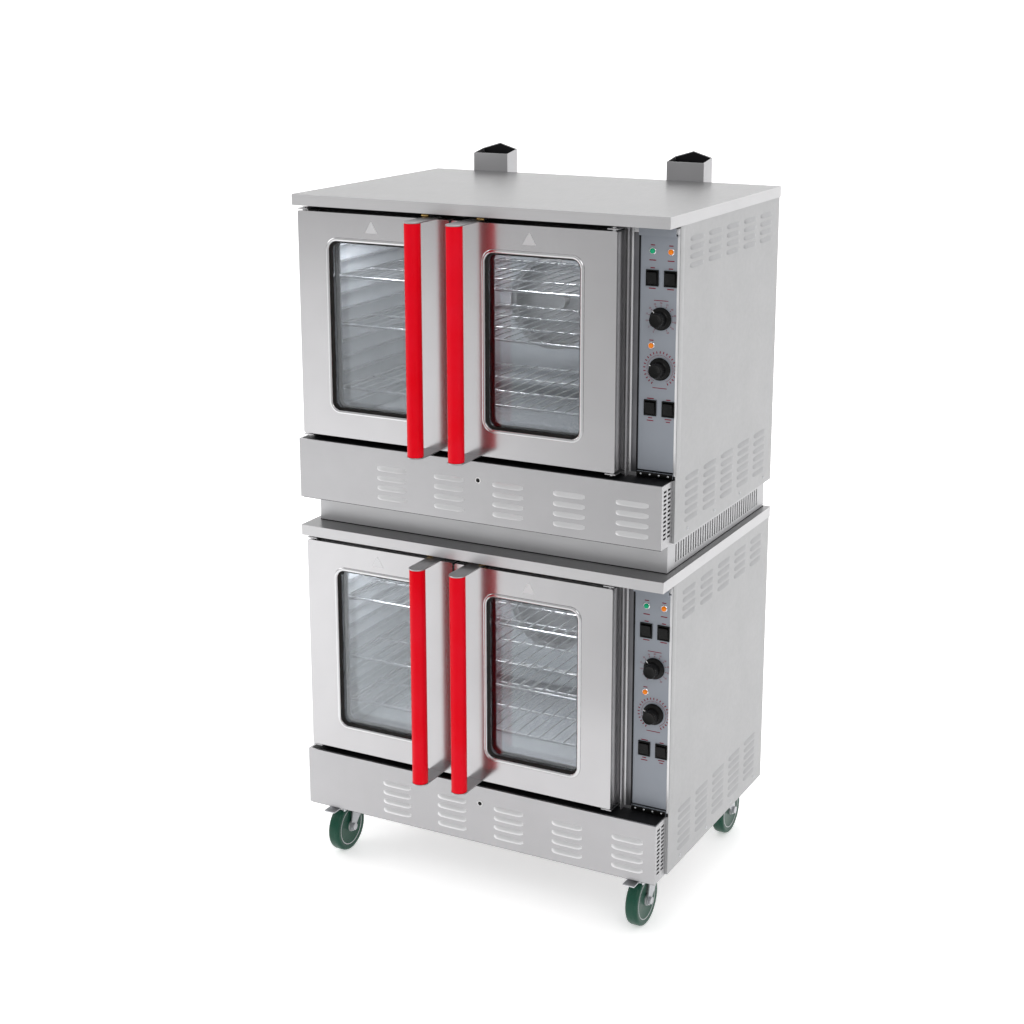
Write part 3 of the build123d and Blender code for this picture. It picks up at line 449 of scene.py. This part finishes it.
def add_side_hoods(bm, deck, rows, first):
    """One group of hoods on both side panels of a deck."""
    for row in range(rows):
        for column in range(SIDE_COLUMNS):
            for side in (-1, 1):
                spot = at(deck, 0, SIDE_FIRST + column * SIDE_PITCH, first + row * SIDE_ROW_PITCH)
                spot.x = side * side_x
                add_hood(bm, spot, (0, side, 0), (side, 0, 0), HOOD_LENGTH * MM, 11.5 * MM, 2.5 * MM)


def add_back_hoods(bm, deck):
    """The hoods on a deck's back panel."""
    for row in range(SIDE_LOW_ROWS):
        for column in (-1, 0, 1):
            x = BACK_MIDDLE + column * SIDE_PITCH
            spot = at(deck, x, 0, SIDE_LOW_DROP + row * SIDE_ROW_PITCH)
            spot.y = back_y
            add_hood(bm, spot, (-1, 0, 0), (0, 1, 0), HOOD_LENGTH * MM, 11.5 * MM, 3.5 * MM)


front_hoods, side_hoods, back_hoods = bmesh.new(), bmesh.new(), bmesh.new()
for deck in DECKS:
    add_front_hoods(front_hoods, deck)
    add_side_hoods(side_hoods, deck, SIDE_TOP_ROWS, SIDE_TOP_DROP)
    add_side_hoods(side_hoods, deck, SIDE_LOW_ROWS, SIDE_LOW_DROP)
    add_back_hoods(back_hoods, deck)
piece("front_louvres", front_hoods, steel_hood, smooth=True)
piece("side_louvres", side_hoods, steel_louvre, smooth=True)
piece("back_louvres", back_hoods, steel_louvre, smooth=True)

# ---------------------------------------------------------------- doors
BEAD = [(-4.4, 0), (-4.2, 1.4), (-3, 2.6), (-1.2, 3.2), (1.2, 3.2), (3, 2.6), (4.2, 1.4), (4.4, 0)]
SEAL = [(0, 0), (0, 5), (-2.2, 5.6), (-5, 3), (-5, 0)]
PANE_THICKNESS, PANE_PLAY = 4, 0.2
MARK_SHIFT, MARK_DROP, MARK_HEIGHT, MARK_HALF = {"left": 2, "right": 7.5}, 54, 28, 16.5


def window(deck, side):
    """The pressed bead round a door's window, and the rubber seals on its two panes."""
    door = f"{deck}_{side}_door"
    low, high, mid = size_of(f"{deck}_{side}_glass")
    bm = bmesh.new()
    add_loop(bm, rounded_path(248 * MM, 416 * MM, 26 * MM), mm(BEAD), (mid.x, door_face, mid.z))
    piece(f"{deck}_{side}_window_bead", bm, bright_bead, door, True)
    bm = bmesh.new()
    path = rounded_path(239.6 * MM, 407.6 * MM, 21.8 * MM)
    for pane_y in (low.y, high.y - (PANE_THICKNESS + PANE_PLAY) * MM):
        add_loop(bm, path, mm(SEAL), (mid.x, pane_y, mid.z))
    piece(f"{deck}_{side}_window_seal", bm, rubber, door, True)


def plain_mark(deck, side):
    """A plain triangle where the real door has a printed mark."""
    x = size_of(f"{deck}_{side}_glass")[2].x - MARK_SHIFT[side] * MM
    apex = Vector((x, door_face, tops[deck] - MARK_DROP * MM))
    base = apex - Vector((0, 0, MARK_HEIGHT * MM))
    half = Vector((MARK_HALF * MM, 0, 0))
    corners = (apex, base - half, base + half)
    raised, sunk = Vector((0, -0.4 * MM, 0)), Vector((0, 0.05 * MM, 0))
    bm = bmesh.new()
    add_prism(bm, [corner + raised for corner in corners], [corner + sunk for corner in corners])
    piece(f"{deck}_{side}_plain_mark", bm, mark_pale, f"{deck}_{side}_door")


# ---------------------------------------------------------------- handles
TONGUE_RADIUS, TONGUE_THICKNESS, TONGUE_BACK = 20, 3, 28
HANDLE_HALF, TUBE_PLAY = 270, 0.2
TUBE_END = [(17.6, 0), (18.7, 0.4), (19, 1.6)]


def handle_tube(deck, side):
    """The red tube of a door's handle, with rounded ends."""
    name = f"{deck}_{side}_handle"
    low, _, mid = size_of(name)
    half = HANDLE_HALF - TUBE_PLAY
    profile = [(r, z - half) for r, z in TUBE_END] + [(r, half - z) for r, z in TUBE_END[::-1]]
    bm = bmesh.new()
    add_lathe(bm, mm(profile), (mid.x, low.y + TONGUE_RADIUS * MM, mid.z), "Z", 72)
    piece(f"{name}_tube", bm, red_gloss, f"{deck}_{side}_door", True, (name,))


def add_tongue(bm, axis, level):
    """A flat steel tongue with a round nose and eased edges, from its lower face up."""
    radius = TONGUE_RADIUS * MM
    outline = []
    for k in range(33):
        a = math.pi + math.pi * k / 32
        outline.append((axis.x + radius * math.cos(a), axis.y + radius * math.sin(a)))
    back = door_face + TONGUE_BACK * MM
    outline += [(axis.x + radius, back), (axis.x - radius, back)]
    rings = []
    for inset, z in ((0.5, 0), (0, 0.5), (0, TONGUE_THICKNESS - 0.5), (0.5, TONGUE_THICKNESS)):
        ring = []
        for x, y in outline:
            away = Vector((x - axis.x, min(y - axis.y, 0), 0))
            shift = away.normalized() * inset * MM
            ring.append(bm.verts.new((x - shift.x, y - shift.y, level + z * MM)))
        rings.append(ring)
    count = len(outline)
    for one, two in zip(rings, rings[1:]):
        for k in range(count):
            bm.faces.new((one[k], one[(k + 1) % count], two[(k + 1) % count], two[k]))
    bm.faces.new(rings[0][::-1])
    bm.faces.new(rings[-1])


def handle_tongues(deck, side):
    """The two tongues that hold a handle's tube to its door."""
    name = f"{deck}_{side}_handle"
    low, _, mid = size_of(name)
    axis = Vector((mid.x, low.y + TONGUE_RADIUS * MM, mid.z))
    bm = bmesh.new()
    for level in (HANDLE_HALF, -HANDLE_HALF - TONGUE_THICKNESS):
        add_tongue(bm, axis, mid.z + level * MM)
    piece(f"{name}_tongues", bm, steel_front, f"{deck}_{side}_door", True, (name,))


# ---------------------------------------------------------------- door catches
ROLLER = [(0.1, -9), (3.2, -9), (3.6, -8.4), (3.6, 8.4), (3.2, 9), (0.1, 9)]
CATCH_OFFSET, CATCH_SETBACK, CATCH_DROP = 72, 23, 33


def catch_rollers(deck):
    """A brass roller in each door's catch, above the doors."""
    bm = bmesh.new()
    for offset in (-CATCH_OFFSET, CATCH_OFFSET):
        spot = at(deck, meeting_x / MM + offset, CATCH_SETBACK, CATCH_DROP)
        add_lathe(bm, mm(ROLLER), spot, "X", 24)
    piece(f"{deck}_catch_rollers", bm, brass, smooth=True)


for deck in DECKS:
    for side in SIDES:
        window(deck, side)
        plain_mark(deck, side)
        handle_tube(deck, side)
        handle_tongues(deck, side)
    catch_rollers(deck)

# ---------------------------------------------------------------- knobs
KNOB = [(4, 0), (25.0, 0), (25.5, -0.8), (25.2, -3.6), (23.4, -5.8), (19.5, -6.6), (17.6, -8), (16.8, -14),
        (16.2, -27.5), (15.4, -29.2), (13.8, -29.8), (12.8, -29.2), (4, -29.0)]
KNOB_LENGTH, RIB_COUNT, RIB_DEPTH, RIB_START, RIB_RADIUS = 30, 24, 0.9, 9, 14.5


def knob(name, turn):
    """A turned knob with a ribbed grip and a white line, in place of its CAD node. turn is the line's angle."""
    low, _, mid = size_of(name)
    skirt = low.y + KNOB_LENGTH * MM
    bm = bmesh.new()
    add_lathe(bm, mm(KNOB), (mid.x, skirt, mid.z), "Y", 96)
    for v in bm.verts:
        away = Vector((v.co.x - mid.x, 0, v.co.z - mid.z))
        if skirt - v.co.y > RIB_START * MM and away.length > RIB_RADIUS * MM:
            angle = math.atan2(away.z, away.x)
            groove = 0.5 - 0.5 * math.cos(RIB_COUNT * angle)
            v.co -= away.normalized() * groove * RIB_DEPTH * MM
    piece(f"{name}_grip", bm, black_gloss, name, True, (name,))
    bm = bmesh.new()
    add_box(bm, (17.5 * MM, -7.4 * MM, -0.7 * MM), (24.6 * MM, -5.2 * MM, 0.7 * MM), 0.2 * MM)
    spin = Matrix.Rotation(math.radians(turn), 3, "Y")
    bmesh.ops.rotate(bm, cent=(0, 0, 0), matrix=spin, verts=bm.verts)
    bmesh.ops.translate(bm, vec=(mid.x, skirt, mid.z), verts=bm.verts)
    piece(f"{name}_line", bm, mark_white, name)


# ---------------------------------------------------------------- printed marks
DIAL_START, DIAL_SWEEP = 240, 300
DASH_REACH, DASH_SINK = 0.25, 0.05
LABEL_DROPS = ((70, 103, 120, 165, 280, 411, 455, 461), (70, 103, 120, 165, 411, 455, 461))
DIAL_LABEL_DROPS, DIAL_LABEL_HALF = (191, 386), 17


def dial_places(mid, radius, count):
    """The angle of each of a dial's places, and where it is on the panel."""
    for k in range(count):
        angle = math.radians(DIAL_START - DIAL_SWEEP * k / (count - 1))
        yield angle, Vector((mid.x + radius * math.cos(angle), film_y, mid.z + radius * math.sin(angle)))


def add_ticks(bm, mid, radius, count, length, width):
    """Printed marks round a dial, as thin plates on the panel."""
    for angle, spot in dial_places(mid, radius * MM, count):
        part = bmesh.new()
        add_box(part, (-length * MM / 2, -DASH_REACH * MM, -width * MM / 2),
                (length * MM / 2, DASH_SINK * MM, width * MM / 2))
        spin = Matrix.Rotation(-angle, 3, "Y")
        for v in part.verts:
            v.co = spin @ v.co + spot
        scrap = bpy.data.meshes.new("scrap")
        part.to_mesh(scrap)
        part.free()
        bm.from_mesh(scrap)
        bpy.data.meshes.remove(scrap)


def add_dash(bm, deck, x, drop, half, thick):
    """A plain dash in place of a printed word."""
    z = tops[deck] - drop * MM
    add_box(bm, (x - half * MM, film_y - DASH_REACH * MM, z - thick * MM),
            (x + half * MM, film_y + DASH_SINK * MM, z + thick * MM))


def printed_marks(deck):
    """The ticks round both dials and the dashes beside the lamps and switches."""
    timer = size_of(f"{deck}_timer_knob")[2]
    thermostat = size_of(f"{deck}_thermostat_knob")[2]
    bm = bmesh.new()
    add_ticks(bm, timer, 29, 13, 3.4, 1.1)
    add_ticks(bm, thermostat, 37.5, 25, 5, 2.4)
    add_ticks(bm, thermostat, 31, 49, 2, 1.2)
    for x, drops in zip(column_x, LABEL_DROPS):
        for k, drop in enumerate(drops):
            add_dash(bm, deck, x, drop, 8 if k % 2 else 5, 1.1)
    for drop in DIAL_LABEL_DROPS:
        add_dash(bm, deck, timer.x, drop, DIAL_LABEL_HALF, 0.8)
    piece(f"{deck}_dial_marks", bm, mark_red)


def timer_numbers(deck):
    """The minutes from 0 to 60 round the timer."""
    labels = range(0, 65, 5)
    places = dial_places(size_of(f"{deck}_timer_knob")[2], 34.5 * MM, len(labels))
    for label, (_, spot) in zip(labels, places):
        curve = bpy.data.curves.new("digits", "FONT")
        curve.body = str(label)
        curve.size = 5.6 * MM
        curve.extrude = 0.1 * MM
        curve.align_x, curve.align_y = "CENTER", "CENTER"
        text = bpy.data.objects.new("digits", curve)
        bpy.context.scene.collection.objects.link(text)
        bpy.context.view_layer.update()
        shown = text.evaluated_get(bpy.context.evaluated_depsgraph_get())
        mesh = bpy.data.meshes.new_from_object(shown)
        bpy.data.objects.remove(text)
        spot.y -= 0.12 * MM
        mesh.transform(Matrix.Translation(spot) @ Matrix.Rotation(math.radians(90), 4, "X"))
        mesh.name = f"{deck}_timer_number_{label}"
        mesh.materials.clear()
        mesh.materials.append(mark_red)
        obj = bpy.data.objects.new(mesh.name, mesh)
        bpy.context.scene.collection.objects.link(obj)
        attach(obj, ROOT)


# ---------------------------------------------------------------- indicator lamps
LAMPS = (("power", 0, 83, green_lens), ("fan", 1, 83, amber_lens), ("heat", 0, 292, amber_lens))
LAMP_RIM = [(4, 0), (8, 0), (8, -1.2), (7.2, -1.9), (6.3, -1.9), (6.2, -0.6), (4, -0.6)]
LAMP_DOME = [(0.2, -0.7), (6.1, -0.7), (6.1, -2.6), (5.6, -4.4), (4.4, -5.9), (2.6, -6.8), (0.2, -7.0)]


def lamps(deck):
    """Three lamps, each a bright rim and a faceted lens. The first rim replaces all the CAD lamps."""
    for label, column, drop, lens in LAMPS:
        centre = (column_x[column], film_y, tops[deck] - drop * MM)
        replaced = ("indicator_lamps",) if (deck, label) == ("upper", "power") else ()
        bm = bmesh.new()
        add_lathe(bm, mm(LAMP_RIM), centre, "Y", 40)
        piece(f"{deck}_{label}_lamp_rim", bm, chrome, smooth=True, replaces=replaced)
        bm = bmesh.new()
        add_lathe(bm, mm(LAMP_DOME), centre, "Y", 12)
        piece(f"{deck}_{label}_lamp_lens", bm, lens)


# ---------------------------------------------------------------- trims round the control panel
PANEL_TOP, PANEL_FOOT, CHANNEL_WIDTH = 31, 583, 19
BAR_SCREW = [(0.2, 0), (2.4, 0), (2.4, -0.5), (1.7, -1.2), (0.2, -1.4)]


def add_slab(bm, deck, across, ahead, drops, bevel=0.0):
    """A box from its ends in x, its reach in front of the panel film and its drops from a deck's top."""
    add_box(bm, (across[0], film_y - ahead[0] * MM, tops[deck] - drops[1] * MM),
            (across[1], film_y - ahead[1] * MM, tops[deck] - drops[0] * MM), bevel)


def panel_bar(deck):
    """The black bar along the foot of a control panel, and its four screws."""
    bm = bmesh.new()
    add_slab(bm, deck, (panel_low.x, panel_high.x), (5.2, 4.1), (579, 590.5), 0.3 * MM)
    piece(f"{deck}_panel_bar", bm, black_gloss, smooth=True)
    bm = bmesh.new()
    for k in range(4):
        spot = (panel_low.x + (10 + 22 * k) * MM, film_y - 5.1 * MM, tops[deck] - 584.5 * MM)
        add_lathe(bm, mm(BAR_SCREW), spot, "Y", 20)
    piece(f"{deck}_bar_screws", bm, zinc, smooth=True)


def panel_trims(deck):
    """The steel channel on the left of a control panel, and the bright strips round the panel."""
    left, rounding = panel_low.x - CHANNEL_WIDTH * MM, 0.3 * MM
    drops = (PANEL_TOP, PANEL_FOOT)
    bm = bmesh.new()
    add_slab(bm, deck, (left, panel_low.x - 3.2 * MM), (2, 0.6), drops, rounding)
    piece(f"{deck}_channel", bm, channel_steel, smooth=True)
    bm = bmesh.new()
    add_slab(bm, deck, (left, left + 4 * MM), (5, 2), drops, rounding)
    add_slab(bm, deck, (left + 4 * MM, panel_high.x + 3 * MM), (3, 0.6), (PANEL_TOP, 44), rounding)
    add_slab(bm, deck, (panel_high.x - 0.5 * MM, side_x - 0.3 * MM), (1.4, -1), drops, rounding)
    piece(f"{deck}_panel_strips", bm, steel_strip, smooth=True)


# ---------------------------------------------------------------- painted shade in the gaps and on the ledge, and side trims
FRAME_ENDS, LEDGE_ENDS, LIP_ENDS = (-470, 350), (-478, 472), (-478, 474)


def shadow_gaps(deck):
    """Dark strips painted as shade in the gaps beside the control panel, over and under the doors, and under
    the front panel.
    """
    across = [x * MM for x in FRAME_ENDS]
    bm = bmesh.new()
    add_slab(bm, deck, (panel_low.x - 3.2 * MM, panel_low.x + 0.4 * MM), (1.4, 0.4), (44, PANEL_FOOT))
    add_slab(bm, deck, across, (0.9, 0.2), (29, 54))
    add_slab(bm, deck, across, (0.9, 0.2), (565, 592))
    add_box(bm, (LIP_ENDS[0] * MM, front_panel_y + 1.6 * MM, tops[deck] - 741.6 * MM),
            (LIP_ENDS[1] * MM, front_panel_y + 5 * MM, tops[deck] - 740.2 * MM))
    piece(f"{deck}_shadow_gaps", bm, painted_shade)


def ledge_sheet(deck):
    """A dark sheet painted as shade on the ledge under the doors."""
    bm = bmesh.new()
    add_box(bm, (LEDGE_ENDS[0] * MM, front_y + 9 * MM, tops[deck] - 593 * MM),
            (LEDGE_ENDS[1] * MM, film_y - 0.6 * MM, tops[deck] - 592.3 * MM))
    piece(f"{deck}_ledge_sheet", bm, painted_shade)


def side_trim(deck):
    """The folded front edge of each side panel."""
    bm = bmesh.new()
    for side in (-1, 1):
        near, far = sorted((side * side_x, side * (side_x + 0.9 * MM)))
        add_box(bm, (near, front_y + 62.5 * MM, tops[deck] - PANEL_FOOT * MM),
                (far, front_y + 86 * MM, tops[deck] - 27 * MM), 0.25 * MM)
    piece(f"{deck}_side_trim", bm, steel_side, smooth=True)


# ---------------------------------------------------------------- sight holes
SIGHT_RING = [(0.2, 0), (7.5, 0), (7.5, -0.8), (6.6, -1.6), (5.4, -1.6), (5.2, -0.5), (0.2, -0.5)]
SIGHT_GLASS = [(0.2, 0), (5, 0), (5, -0.9), (0.2, -0.9)]
SIGHT_X, SIGHT_DROP = 13.2, 636.4


def sight_hole(deck):
    """The pale ring and dark glass of the sight hole in a front panel."""
    spot = (SIGHT_X * MM, front_panel_y, tops[deck] - SIGHT_DROP * MM)
    bm = bmesh.new()
    add_lathe(bm, mm(SIGHT_RING), spot, "Y", 32)
    piece(f"{deck}_sight_ring", bm, mark_white, smooth=True)
    bm = bmesh.new()
    add_lathe(bm, mm(SIGHT_GLASS), spot, "Y", 24)
    piece(f"{deck}_sight_glass", bm, black_gloss, smooth=True)


for deck in DECKS:
    knob(f"{deck}_timer_knob", 225)
    knob(f"{deck}_thermostat_knob", 200)
    printed_marks(deck)
    timer_numbers(deck)
    lamps(deck)
    panel_bar(deck)
    panel_trims(deck)
    shadow_gaps(deck)
    ledge_sheet(deck)
    side_trim(deck)
    sight_hole(deck)

# ---------------------------------------------------------------- flue linings, painted dark as the shade inside the flues
FLUE_PLACES = (-323, 230)
LINING_HALF, LINING_WALL, LINING_FRONT, LINING_FOOT, LINING_RIM = 47.6, 0.6, 688.2, 60, -44.5
GABLE = [(-47.8, 60), (47.8, 60), (47.8, -53.5), (0, -68), (-47.8, -53.5)]
GABLE_NEAR, GABLE_FAR = 739.1, 739.7


def add_lining_wall(bm, left, right, near, far):
    """An upright wall of a lining, from its ends across and back, in millimetres."""
    add_box(bm, at("upper", left, near, LINING_FOOT), at("upper", right, far, LINING_RIM))


bm = bmesh.new()
for x in FLUE_PLACES:
    left, right = x - LINING_HALF, x + LINING_HALF
    add_lining_wall(bm, left - LINING_WALL, left, LINING_FRONT, 739.6)
    add_lining_wall(bm, right, right + LINING_WALL, LINING_FRONT, 739.6)
    add_lining_wall(bm, left, right, LINING_FRONT, LINING_FRONT + LINING_WALL)
    add_prism(bm, [at("upper", x + across, GABLE_NEAR, drop) for across, drop in GABLE],
              [at("upper", x + across, GABLE_FAR, drop) for across, drop in GABLE])
piece("flue_shade_linings", bm, painted_shade)

# ---------------------------------------------------------------- dark strip painted as shade in the seam between the plinth and the lower cover
SEAM_REACH, SEAM_LOW, SEAM_HIGH = 0.5 * MM, 0.1 * MM, 1.7 * MM
bm = bmesh.new()
seam_low, seam_high = plinth_low.z + SEAM_LOW, plinth_low.z + SEAM_HIGH
seam_left, seam_right = plinth_low.x - SEAM_REACH, plinth_high.x + SEAM_REACH
add_box(bm, (seam_left, plinth_low.y - SEAM_REACH, seam_low), (seam_right, plinth_low.y, seam_high))
for x in (seam_left, plinth_high.x):
    add_box(bm, (x, plinth_low.y, seam_low), (x + SEAM_REACH, plinth_high.y, seam_high))
piece("stacking_shade_seam", bm, painted_shade)

# ---------------------------------------------------------------- screws
PAN_HEAD = [(0.2, -0.4), (4, -0.4), (4, 0.5), (3.4, 1.3), (2.2, 1.8), (1.0, 1.9), (0.9, 1.1), (0.2, 1.1)]
PANEL_SCREWS, PANEL_SCREW_DROP = (138, 303, 468, 633), 723
COVER_SCREWS, COVER_SCREW_DROP = (94.5, 648), 13.5


def add_screws(bm, deck, side, places, drop, x, width=1.0, height=1.0):
    """A row of pan heads on a side of the oven, wider or flatter than the usual head by two factors."""
    head = [(r * width, side * a * height) for r, a in PAN_HEAD]
    for y in places:
        spot = at(deck, 0, y, drop)
        spot.x = side * x
        add_lathe(bm, mm(head), spot, "X", 20)


bm = bmesh.new()
for deck in DECKS:
    for side in (-1, 1):
        add_screws(bm, deck, side, PANEL_SCREWS, PANEL_SCREW_DROP, side_x + 0.1 * MM)
        add_screws(bm, deck, side, COVER_SCREWS, COVER_SCREW_DROP, cover_high.x - 0.4 * MM, 0.9, 0.18)
piece("side_screws", bm, zinc, smooth=True, replaces=("panel_screws",))

# ---------------------------------------------------------------- casters
HALF_TYRE = [(47.5, 14), (54, 15.6), (59, 15.4), (62, 13.4), (63.4, 9.5), (63.5, 4)]
HALF_CORE = [(6.2, 18), (13, 18), (14, 17), (14, 12), (17, 9), (36, 7), (43, 9.5), (46.5, 14.4), (48.4, 14.4)]
BOLT_HEAD = [(0.3, 7), (2.6, 9.4), (4.2, 9.4), (5, 8.6), (5, 7)]
BOLT_COUNT, BOLT_RADIUS = 6, 29


def both_halves(half):
    """A turned profile from one of its halves."""
    return mm([(r, -a) for r, a in half] + half[::-1])


def caster_wheel(name):
    """The tyre and the bolted core of a wheel, in place of its CAD node."""
    mid = size_of(name)[2]
    bm = bmesh.new()
    add_lathe(bm, both_halves(HALF_TYRE), mid, "X", 96)
    piece(f"{name}_tyre", bm, tyre_green, name, True, (name,))
    bm = bmesh.new()
    add_lathe(bm, both_halves(HALF_CORE), mid, "X", 72)
    for k in range(BOLT_COUNT):
        a = 2 * math.pi * k / BOLT_COUNT
        spot = mid + Vector((0, math.cos(a), math.sin(a))) * BOLT_RADIUS * MM
        for side in (-1, 1):
            add_lathe(bm, mm((r, side * along) for r, along in BOLT_HEAD), spot, "X", 16)
    piece(f"{name}_core", bm, core_grey, name, True, (name,))


for corner in ("front_left", "front_right", "rear_left", "rear_right"):
    caster_wheel(f"{corner}_caster_wheel")


# ---------------------------------------------------------------- stage
def white_floor():
    """White studio paper with a painted glow: it glows a little behind the oven and on its left, and not in
    front of it, lightening the shade there.
    """
    mat = shade("floor_paper", (0.93, 0.93, 0.93), 0.005, 0.0, (0.6, 0.7), (3, 3, 3), 0.01)
    tree, shader = mat.node_tree, mat.node_tree.nodes["Principled BSDF"]
    coords = tree.nodes.new("ShaderNodeTexCoord")
    shader.inputs["Emission Color"].default_value = (1, 1, 1, 1)
    glows = []
    for heading, start, end, top in (((0, 1, 0), -1.7, -1.2, 0.42), ((-1, 0.5, 0), -0.6, 0.6, 0.62)):
        along = tree.nodes.new("ShaderNodeVectorMath")
        along.operation = "DOT_PRODUCT"
        along.inputs[1].default_value = heading
        tree.links.new(coords.outputs["Object"], along.inputs[0])
        glows.append(remap(tree, along.outputs["Value"], 0.0, top, start, end))
    larger = tree.nodes.new("ShaderNodeMath")
    larger.operation = "MAXIMUM"
    for glow, socket in zip(glows, larger.inputs):
        tree.links.new(glow, socket)
    tree.links.new(larger.outputs["Value"], shader.inputs["Emission Strength"])
    return mat


FLOOR_FRONT, FLOOR_BACK, FLOOR_HALF = -9.0, 5.0, 12.0
SWEEP_RADIUS, SWEEP_STEPS, WALL_HEIGHT = 2.5, 12, 9.0


def stage_floor():
    """A pale floor that curves up behind the oven."""
    outline = [(FLOOR_FRONT, 0.0), (FLOOR_BACK, 0.0)]
    for k in range(1, SWEEP_STEPS + 1):
        a = math.pi / 2 * k / SWEEP_STEPS
        outline.append((FLOOR_BACK + SWEEP_RADIUS * math.sin(a), SWEEP_RADIUS * (1 - math.cos(a))))
    outline.append((FLOOR_BACK + SWEEP_RADIUS, WALL_HEIGHT))
    bm = bmesh.new()
    rows = [[bm.verts.new((x, y, z)) for y, z in outline] for x in (-FLOOR_HALF, FLOOR_HALF)]
    for k in range(len(outline) - 1):
        bm.faces.new((rows[0][k], rows[1][k], rows[1][k + 1], rows[0][k + 1]))
    mesh = bpy.data.meshes.new("floor")
    bm.to_mesh(mesh)
    bm.free()
    mesh.shade_smooth()
    mesh.materials.append(white_floor())
    obj = bpy.data.objects.new("floor", mesh)
    bpy.context.scene.collection.objects.link(obj)


# ---------------------------------------------------------------- lights
def area_light(name, place, target, size, power):
    """A soft panel light that faces a point."""
    data = bpy.data.lights.new(name, "AREA")
    data.shape = "RECTANGLE"
    data.size, data.size_y = size
    data.energy = power
    obj = bpy.data.objects.new(name, data)
    bpy.context.scene.collection.objects.link(obj)
    obj.location = place
    obj.rotation_euler = (Vector(target) - Vector(place)).to_track_quat("-Z", "Y").to_euler()


def white_world(strength):
    """Even white light from all round."""
    world = bpy.data.worlds.new("studio")
    bpy.context.scene.world = world
    world.use_nodes = True
    sky = world.node_tree.nodes["Background"]
    sky.inputs["Color"].default_value = (1.0, 1.0, 1.0, 1)
    sky.inputs["Strength"].default_value = strength


def chamber_lights(deck):
    """A small light inside the chamber over each window."""
    low, high, _ = size_of(f"{deck}_left_glass")
    for x in window_x:
        place, target = (x, front_y + 0.11, high.z + 0.03), (x, front_y + 0.3, low.z)
        area_light(f"{deck}_chamber_light", place, target, (0.25, 0.06), 2.2)


OVEN_MIDDLE = (0, 0, 0.9)
stage_floor()
white_world(0.62)
area_light("key", (2.6, -3.2, 3.6), OVEN_MIDDLE, (2.2, 2.2), 38)
area_light("fill", (-4.6, -1.6, 3.4), OVEN_MIDDLE, (2.6, 2.6), 55)
area_light("overhead", (0.2, 0.4, 4.2), OVEN_MIDDLE, (3.0, 3.0), 32)
for deck in DECKS:
    chamber_lights(deck)

# ---------------------------------------------------------------- camera
CAMERA_PLACE = (1.972, front_y - 3.5193, 2.1711)
CAMERA_YAW, CAMERA_PITCH, CAMERA_ROLL = 27.96, -13.88, 0.09
SENSOR_WIDTH, FOCAL_LENGTH, LENS_SHIFT = 36, 63.467578125, -0.080078125
camera = bpy.data.objects.new("camera", bpy.data.cameras.new("camera"))
bpy.context.scene.collection.objects.link(camera)
camera.location = CAMERA_PLACE
yaw, pitch = math.radians(CAMERA_YAW), math.radians(CAMERA_PITCH)
ahead = Vector((-math.sin(yaw) * math.cos(pitch), math.cos(yaw) * math.cos(pitch), math.sin(pitch)))
aim = ahead.to_track_quat("-Z", "Y").to_matrix() @ Matrix.Rotation(math.radians(-CAMERA_ROLL), 3, "Z")
camera.rotation_euler = aim.to_euler()
camera.data.sensor_width = SENSOR_WIDTH
camera.data.lens = FOCAL_LENGTH
camera.data.shift_y = LENS_SHIFT
camera.data.clip_end = 60
bpy.context.scene.camera = camera
bpy.context.scene.view_settings.view_transform = "Standard"
